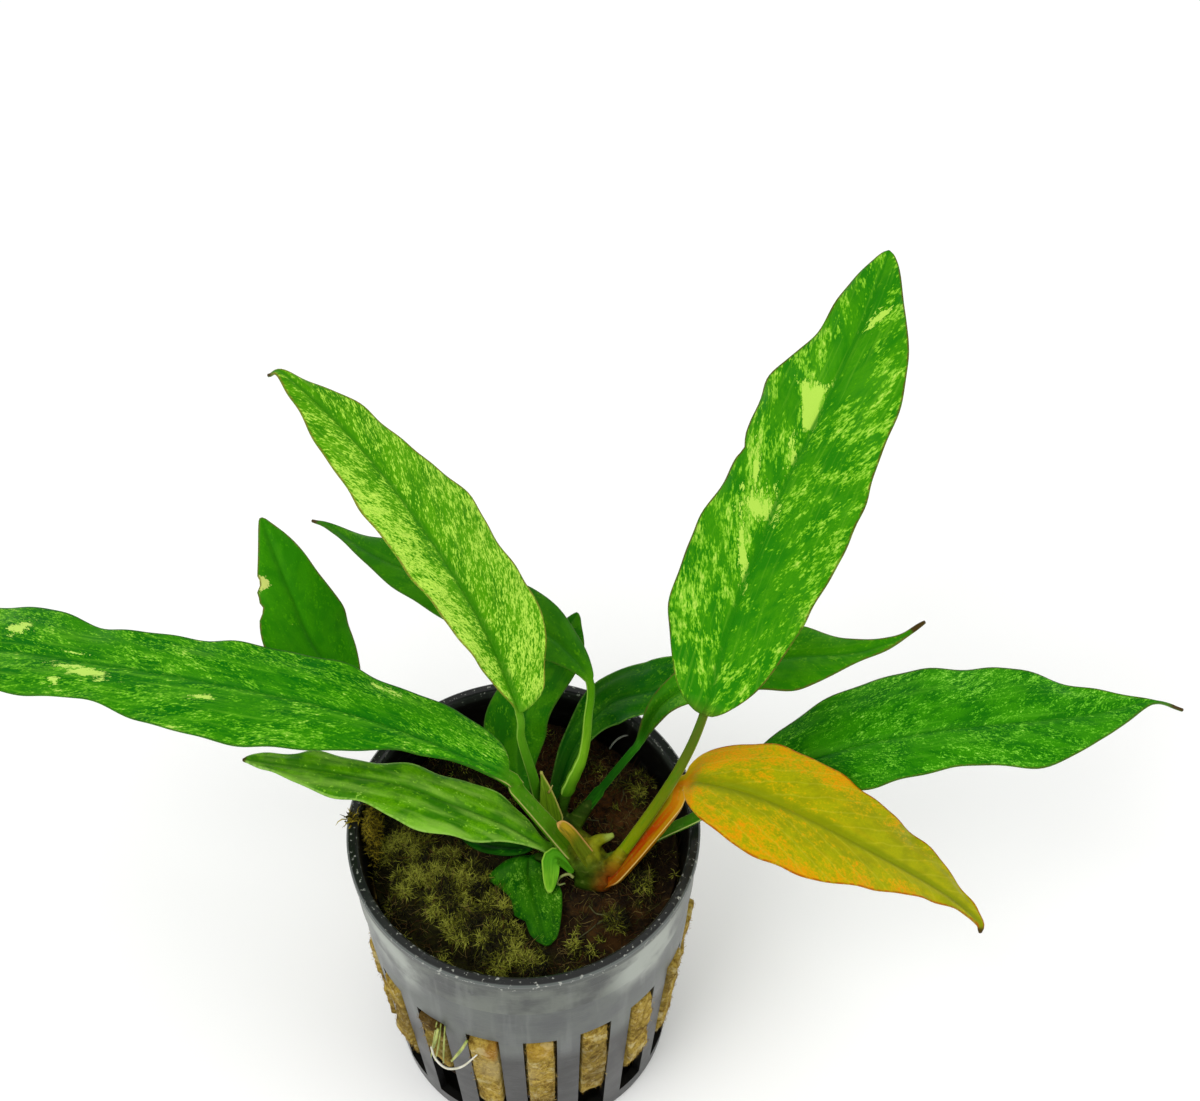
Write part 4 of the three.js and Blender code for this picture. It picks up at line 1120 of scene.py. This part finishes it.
def mossy(x, y):
    """How thickly moss covers a place on the wool, from 0 to 1."""
    cover = 0
    for cx, cy, radius in MOSS_MOUNDS:
        cover = np.maximum(cover, 1 - ((x - cx) ** 2 + (y - cy) ** 2) / radius ** 2)
    cx, cy, half_x, half_y = LOW_SPOT
    dip = np.exp(-(((x - cx) / half_x) ** 2 + ((y - cy) / half_y) ** 2) ** 2)
    return ease(0, 0.6, cover + 0.35 * GROUND.read(x, y, 3, 1.8, 2)) * (1 - dip)


def wool_top(x, y):
    """Height of the wool's upper side, with mounds under the moss and a lower edge at the wall."""
    height = WOOL_TOP - 0.2 + 0.55 * GROUND.read(x, y, 0, 5.5) + 0.35 * GROUND.read(x, y, 9, 1.3, 2)
    return height + MOSS_HEIGHT * mossy(x, y) - 0.9 * ease(17, 22.5, np.hypot(x, y))


def hollow_share(angle, z):
    """1 in the middle of the hollow below the roots, falling to 0 round it."""
    aside = (angle - HOLLOW_TURN + math.pi) % (2 * math.pi) - math.pi
    return np.exp(-(aside / HOLLOW_REACH[0]) ** 2 - ((z - HOLLOW_HEIGHT) / HOLLOW_REACH[1]) ** 4)


def wool_side(angle, z, in_slot_share):
    """Radius of the wool's side; it swells where a slot lets it."""
    inside = np.where(z < SLOT_TOP, wall_radius(z), WALL_TOP_RADIUS) - WALL - WOOL_GAP
    x, y = 24 * np.sin(angle), 24 * np.cos(angle)
    grain = 0.22 * GROUND.read(x, y, z, 1.6)
    ends = ease(WOOL_FOOT + 0.4, WOOL_FOOT + 2.5, z) * ease(SLOT_TOP - 0.4, SLOT_TOP - 1.6, z)
    swell = WALL + WOOL_GAP + WOOL_SWELL * (0.7 + 0.45 * GROUND.read(x, y, z, 6, 2))
    hollow = hollow_share(angle, z)
    swell = swell * (1 - hollow) - HOLLOW_DEPTH * hollow
    return inside - 0.25 + grain * (0.3 + 0.7 * in_slot_share) * ends + swell * in_slot_share * ends


def wool_piece():
    """The plug as rings: from the middle of its foot out, up its side and in over its top."""
    half = SLOT_ANGLE / 2 - WOOL_GAP / wall_radius(20)
    right = [(0, 1), (0.3, 1), (0.55, 1), (0.8, 1), (0.93, 0.85), (1, 0)]
    slot = [(-at, share) for at, share in right[:0:-1]] + right + [(SLOT_PITCH / 2 / half, 0)]
    angle = np.array([slot_angle(i) + at * half for i in range(SLOT_COUNT) for at, _ in slot])
    share = np.array([share for _, share in slot] * SLOT_COUNT, float)
    sine, cosine = np.sin(angle), -np.cos(angle)
    foot_rows, side_rows, top_rows = WOOL_ROWS
    rows = []
    for part in np.linspace(0, 1, foot_rows)[1:-1]:
        radius = part * (wall_radius(WOOL_FOOT) - WALL - WOOL_GAP)
        bumps = 0.2 * (1 + GROUND.read(radius * sine, radius * cosine, 5, 3))
        rows.append(stacked(radius * sine, radius * cosine, WOOL_FOOT + bumps))
    for z in np.linspace(WOOL_FOOT, WOOL_TOP - 1.6, side_rows):
        radius = wool_side(angle, np.full_like(angle, z), share)
        rows.append(stacked(radius * sine, radius * cosine, z))
    edge = WALL_TOP_RADIUS - WALL - WOOL_GAP - 0.3
    for part in np.linspace(1, 0, top_rows)[:-1]:
        x, y = edge * part * sine, edge * part * cosine
        rows.append(stacked(x, y, wool_top(x, y)))
    return make_piece("rock_wool_plug", np.concatenate(rows), ring_faces(len(rows), len(angle)))


def strands(name, roots, directions, lengths, radius, bend, shade=None, rings=4):
    """Many thin closed fibres: each starts at a root, leaves along its direction and bends."""
    count, sides = len(roots), 3
    turn = unit(RNG.normal(size=(count, 3)))
    shares = np.linspace(0, 1, rings)
    ways = [unit(unit(directions) + turn * bend * share) for share in shares]
    path = np.stack([way * (lengths * share)[:, None] + roots for way, share in zip(ways, shares)], 1)
    tangent = unit(np.gradient(path, axis=1))
    side = unit(np.cross(tangent, unit(RNG.normal(size=(count, 1, 3)))))
    normal = np.cross(tangent, side)
    taper = np.multiply.outer(np.broadcast_to(radius, count), 1 - 0.8 * shares ** 2)[:, :, None]
    angles = [2 * math.pi * k / sides for k in range(sides)]
    points = [path + (side * math.cos(angle) + normal * math.sin(angle)) * taper for angle in angles]
    starts = np.arange(count) * rings * sides
    faces = (np.array(ring_faces(rings, sides, caps=False)) + starts[:, None, None]).reshape(-1, 4).tolist()
    for start in starts:
        faces.append([start + 2, start + 1, start])
        faces.append([start + (rings - 1) * sides + n for n in range(sides)])
    if shade is None:
        shade = RNG.random(count)
    along = np.tile(np.repeat(shares, sides), count)
    facts = stacked(np.repeat(shade, rings * sides), along, 0)
    return make_piece(name, np.stack(points, 2).reshape(-1, 3), faces, dict(strand=facts))


def scatter(count, spread, middle):
    return RNG.normal(size=(count, 3)) * spread + middle


def in_disc(count, radius):
    angle = RNG.random(count) * 2 * math.pi
    distance = radius * np.sqrt(RNG.random(count))
    return distance * np.cos(angle), distance * np.sin(angle)


def outside_circle(x, y, circle):
    return np.hypot(x - circle[0], y - circle[1]) > circle[2]


def clear_of(shape, x, y, gap):
    """True where a place isn't under a low leaf."""
    rings, centres = shape["rings"], shape["centres"]
    row = np.hypot(x[:, None] - centres[:, 0], y[:, None] - centres[:, 1]).argmin(1)
    middle, left, right = centres[row, :2], rings[row, 0, :2], rings[row, 2 * len(COLUMNS) - 2, :2]
    place, left, right = np.stack([x, y], -1) - middle, left - middle, right - middle
    edge = np.where((np.sum(place * left, -1) > 0)[:, None], left, right)
    return np.linalg.norm(place, axis=1) > np.linalg.norm(edge, axis=1) + gap


def moss_piece(name, low_leaf):
    """Short curly strands on the mounds of the wool, in clumps that are lighter or darker."""
    x, y = in_disc(9 * MOSS_STRANDS, MOSS_REACH)
    cover = mossy(x, y)
    keep = (cover > 0.15 + 0.6 * RNG.random(len(x))) & outside_circle(x, y, NO_MOSS)
    keep &= clear_of(low_leaf, x, y, 0.3)
    x, y, cover = (values[keep][:MOSS_STRANDS] for values in (x, y, cover))
    away = scatter(len(x), 0.9, (0, 0, 0.75))
    lengths = (0.5 + 1.2 * RNG.random(len(x)) ** 1.5) * (0.6 + 0.6 * cover)
    shade = 0.47 + 0.55 * GROUND.read(x, y, 13, 1.4, 2) + 0.2 * RNG.normal(size=len(x))
    roots = stacked(x, y, wool_top(x, y) - 0.15)
    return strands(name, roots, away, lengths, radius=0.07, bend=1.7, shade=np.clip(shade, 0, 1), rings=3)


def tuft_piece():
    """Moss that climbs the wall on the left and hangs over the rim."""
    count = TUFT_STRANDS
    share = RNG.random(count) ** 0.8
    x = -21.2 - 1.2 * share + 0.35 * RNG.normal(size=count)
    y = 1.6 - 0.6 * share + (2.2 - 1.3 * share) * RNG.normal(size=count)
    z = WOOL_TOP + 0.5 + 6 * share + 0.3 * RNG.normal(size=count)
    out = np.maximum(np.hypot(x, y) / (WALL_TOP_RADIUS - WALL - 0.45), 1)
    roots = stacked(x / out, y / out, z)
    away = scatter(count, 0.8, (0.2, 0, 0.8))
    roots[:HANGING] = scatter(HANGING, (0.5, 0.35, 0.1), HANGING_FROM)
    away[:HANGING] = scatter(HANGING, 0.4, (-1, 0.15, 0.3))
    lengths = 0.6 + 0.8 * RNG.random(count)
    lengths[:HANGING] = 0.8 + 1.4 * RNG.random(HANGING)
    radius = np.where(np.arange(count) < HANGING, 0.12, 0.06)
    return strands("moss_tuft", roots, away, lengths, radius, bend=1.1)


def top_fibre_piece(low_leaf):
    """Loose fibres all over the top of the wool."""
    x, y = in_disc(TOP_FIBRES, FIBRE_REACH)
    keep = clear_of(low_leaf, x, y, 1.2)
    x, y = x[keep], y[keep]
    away = scatter(len(x), (1, 1, 0.3), (0, 0, 0.2))
    lengths = 0.9 + 2.4 * RNG.random(len(x)) ** 1.5
    roots = stacked(x, y, wool_top(x, y))
    return strands("top_fibres", roots, away, lengths, radius=0.05, bend=1.3)


def slot_fibre_piece():
    """Short flat fibres on the wool that swells out of the slots, but none in its hollow."""
    slot = RNG.integers(0, SLOT_COUNT, SLOT_FIBRES)
    angle = slot_angle(slot) + (RNG.random(SLOT_FIBRES) - 0.5) * SLOT_ANGLE * 0.86
    z = WOOL_FOOT + 0.8 + (SLOT_TOP - WOOL_FOOT - 1.6) * RNG.random(SLOT_FIBRES)
    filled = hollow_share(angle, z) < 0.25
    angle, z = angle[filled], z[filled]
    radius = wool_side(angle, z, np.ones_like(z)) - 0.05
    outward = stacked(np.sin(angle), -np.cos(angle), 0)
    roots = outward * radius[:, None] + stacked(0, 0, z)
    away = scatter(len(z), (0.8, 0.8, 1), outward * 0.2)
    lengths = 0.25 + 0.4 * RNG.random(len(z))
    return strands("slot_fibres", roots, away, lengths, radius=0.03, bend=1.4)


# Rhizome and roots

def collar(shape):
    """The lowest part of a petiole, swollen where it leaves the rhizome, as points and faces."""
    rows = (shape["distance"] <= COLLAR_LENGTH) & shape["closed"]
    share = (shape["distance"][rows] / COLLAR_LENGTH)[:, None, None]
    radius = shape["radius"][rows][:, None, None]
    scale = 1 + COLLAR_SWELL / radius * (1 - share) - COLLAR_NARROW * share
    centres = shape["centres"][rows][:, None]
    rings = centres + (shape["rings"][rows] - centres) * scale
    return rings.reshape(-1, 3), ring_faces(len(rings), rings.shape[1])


def crown_tints(points, collared):
    """Olive, blended with the tones of some places and with each petiole's lowest tone near it."""
    total = np.full(len(points), 0.3)
    colour = total[:, None] * np.array(tone(CROWN_TONE)[:3])
    for place, reach, most, code in CROWN_PLACES:
        weight = most * np.exp(-(np.linalg.norm(points - place, axis=1) / reach) ** 2)
        total = total + weight
        colour = colour + weight[:, None] * np.array(tone(code)[:3])
    for leaf_name, shape in collared.items():
        near = shape["distance"] < COLLAR_LENGTH + 1
        gap = np.linalg.norm(points[:, None] - shape["centres"][near], axis=2) - shape["radius"][near]
        weight = np.exp(-np.maximum(0, gap.min(1) - 0.25) / 0.35)
        weight = weight * ease(1, 4, shape["distance"][near][gap.argmin(1)])
        total = total + weight
        colour = colour + weight[:, None] * np.array(tone(LOOKS[leaf_name]["stem"][0])[:3])
    return colour / total[:, None]


def rhizome_piece(shapes):
    """The stem, its bud, its swollen front and the bases of the petioles, grown together."""
    collared = {leaf_name: shape for leaf_name, shape in shapes.items() if not LOOKS[leaf_name]["trough"]}
    parts = [tube(stem["points"], stem["radii"]) for stem in (RHIZOME, BUD, SWELLING)]
    parts += [collar(shape) for shape in collared.values()]
    piece = make_piece("rhizome_crown", *joined(parts))
    alter(piece, "skin", "REMESH", mode="VOXEL", voxel_size=RHIZOME_VOXEL * MM)
    alter(piece, "even", "SMOOTH", iterations=4)
    settle(piece)
    mesh = piece.data
    mesh.polygons.foreach_set("use_smooth", [True] * len(mesh.polygons))
    points = np.empty(3 * len(mesh.vertices))
    mesh.vertices.foreach_get("co", points)
    put_attribute(mesh, "tint", crown_tints(points.reshape(-1, 3) / MM, collared))
    return piece


def fine_roots():
    """Hair-fine roots that wander over the wool to the right of the rhizome."""
    parts = []
    while len(parts) < FINE_ROOTS:
        x, y = RNG.uniform(*FINE_START[:2]), RNG.uniform(*FINE_START[2:])
        heading = RNG.uniform(0, 2 * math.pi)
        points = []
        for _ in FINE_RADII:
            points.append((x, y, float(wool_top(np.array(x), np.array(y))) + 0.2))
            heading += RNG.normal() * 0.5
            x += FINE_STEP * math.cos(heading)
            y += FINE_STEP * math.sin(heading)
        free = [outside_circle(px, py, NO_FINE_ROOTS) for px, py, _ in points]
        if all(free) and all(math.hypot(px, py) < FINE_REACH for px, py, _ in points):
            parts.append(tube(points, FINE_RADII, sides=6))
    return make_piece("fine_roots", *joined(parts))


# Build

SLOTS = {row["node"]: row["material_slot"] for row in frame["record"]["subparts"]}

shapes = {leaf_name: leaf_shape(leaf) for leaf_name, leaf in LEAVES.items()}
for leaf_name, shape in shapes.items():
    finish = leaf_finish(leaf_name, LOOKS[leaf_name])
    dress(leaf_piece(leaf_name + "_blade", shape), finish, SLOTS[leaf_name], leaf_name)
for sheath_name, sheath in SHEATHS.items():
    finish = sheath_finish(sheath_name, *sheath["tones"])
    dress(leaf_piece(sheath_name + "_skin", leaf_shape(sheath)), finish, "sheath", sheath_name)

dress(rhizome_piece(shapes), rhizome_finish(), "rhizome", "rhizome")
for root_name, root in ROOTS.items():
    piece = make_piece(root_name + "_strand", *tube(root["points"], root["radii"], sides=10, step=0.25))
    dress(piece, root_finish(root_name, *root["tones"]), "root", root_name)
for growth_name, growth in GROWTHS.items():
    piece = make_piece(growth_name, *tube(growth["points"], growth["radii"], sides=8, step=0.2))
    dress(piece, root_finish(growth_name, *growth["tones"]), "root")
hair_roots = joined([tube(points, HAIR_RADII, sides=6) for points in HAIR_ROOTS])
dress(make_piece("hair_roots", *hair_roots), root_finish("hair_root", 0x8c9630, 0xc0c868), "root")
dress(fine_roots(), root_finish("fine_root", 0x3c3c1a, 0x5c5c30), "root")

dress(pot_piece(), pot_finish(), "pot_plastic", "pot")
dress(wool_piece(), wool_finish(), "rock_wool", "rock_wool")
low_leaf = shapes["leaf_small_front"]
moss_tones = strand_finish("moss", 0x1a1803, 0x4a4a0a, 0x7c801a, 0xb4b844)
for moss_name in ("moss_front", "moss_back"):
    dress(moss_piece(moss_name, low_leaf), moss_tones, "rock_wool")
dress(tuft_piece(), strand_finish("moss_tuft", 0x3c3806, 0x8c7c14, 0xb8a428), "rock_wool")
dress(top_fibre_piece(low_leaf),
      strand_finish("top_fibre", 0x180d04, 0x2e1f0a, 0x5e3a12, 0x444c10, 0x8c7840), "rock_wool")
dress(slot_fibre_piece(), strand_finish("slot_fibre", 0x8a6820, 0xbc983c, 0xdcc078), "rock_wool")


# Floor, light and camera; the lights' places and sizes are in metres

FLOOR_HALF = 8000
LIGHT_AIM = (0.01, 0, 0.06)
SKY_STRENGTH = 0.8


def stage_floor():
    corners = [(x * FLOOR_HALF, y * FLOOR_HALF, 0) for x, y in ((-1, -1), (1, -1), (1, 1), (-1, 1))]
    floor = make_piece("floor", corners, [(0, 1, 2, 3)])
    f = Finish("floor", Roughness=0.9, Specular_IOR_Level=0.1)
    floor.data.materials.append(f.finish((0.95, 0.95, 0.94, 1)))


def area_light(name, place, size, power):
    data = bpy.data.lights.new(name, "AREA")
    data.shape = "DISK"
    data.size = size
    data.energy = power
    light = link(name, data)
    light.location = place
    light.rotation_euler = (Vector(LIGHT_AIM) - Vector(place)).to_track_quat("-Z", "Y").to_euler()


def studio():
    world = bpy.data.worlds.new("studio")
    world.use_nodes = True
    sky = world.node_tree.nodes["Background"]
    sky.inputs["Color"].default_value = (1, 1, 1, 1)
    sky.inputs["Strength"].default_value = SKY_STRENGTH
    bpy.context.scene.world = world
    area_light("key", (-0.35, -0.35, 0.75), size=0.5, power=3.2)
    area_light("fill", (0.6, -0.2, 0.5), size=0.6, power=1.4)
    bpy.context.scene.view_settings.view_transform = "Standard"


def photo_camera():
    data = bpy.data.cameras.new("camera")
    data.sensor_width = SENSOR_WIDTH
    data.lens = SENSOR_WIDTH * FOCAL_PIXELS / PHOTO_WIDTH
    data.clip_start = 0.01
    camera = link("camera", data)
    camera.location = [value * MM for value in CAMERA_PLACE]
    camera.rotation_euler = (math.radians(90 - CAMERA_PITCH), 0, 0)
    bpy.context.scene.camera = camera


stage_floor()
studio()
photo_camera()
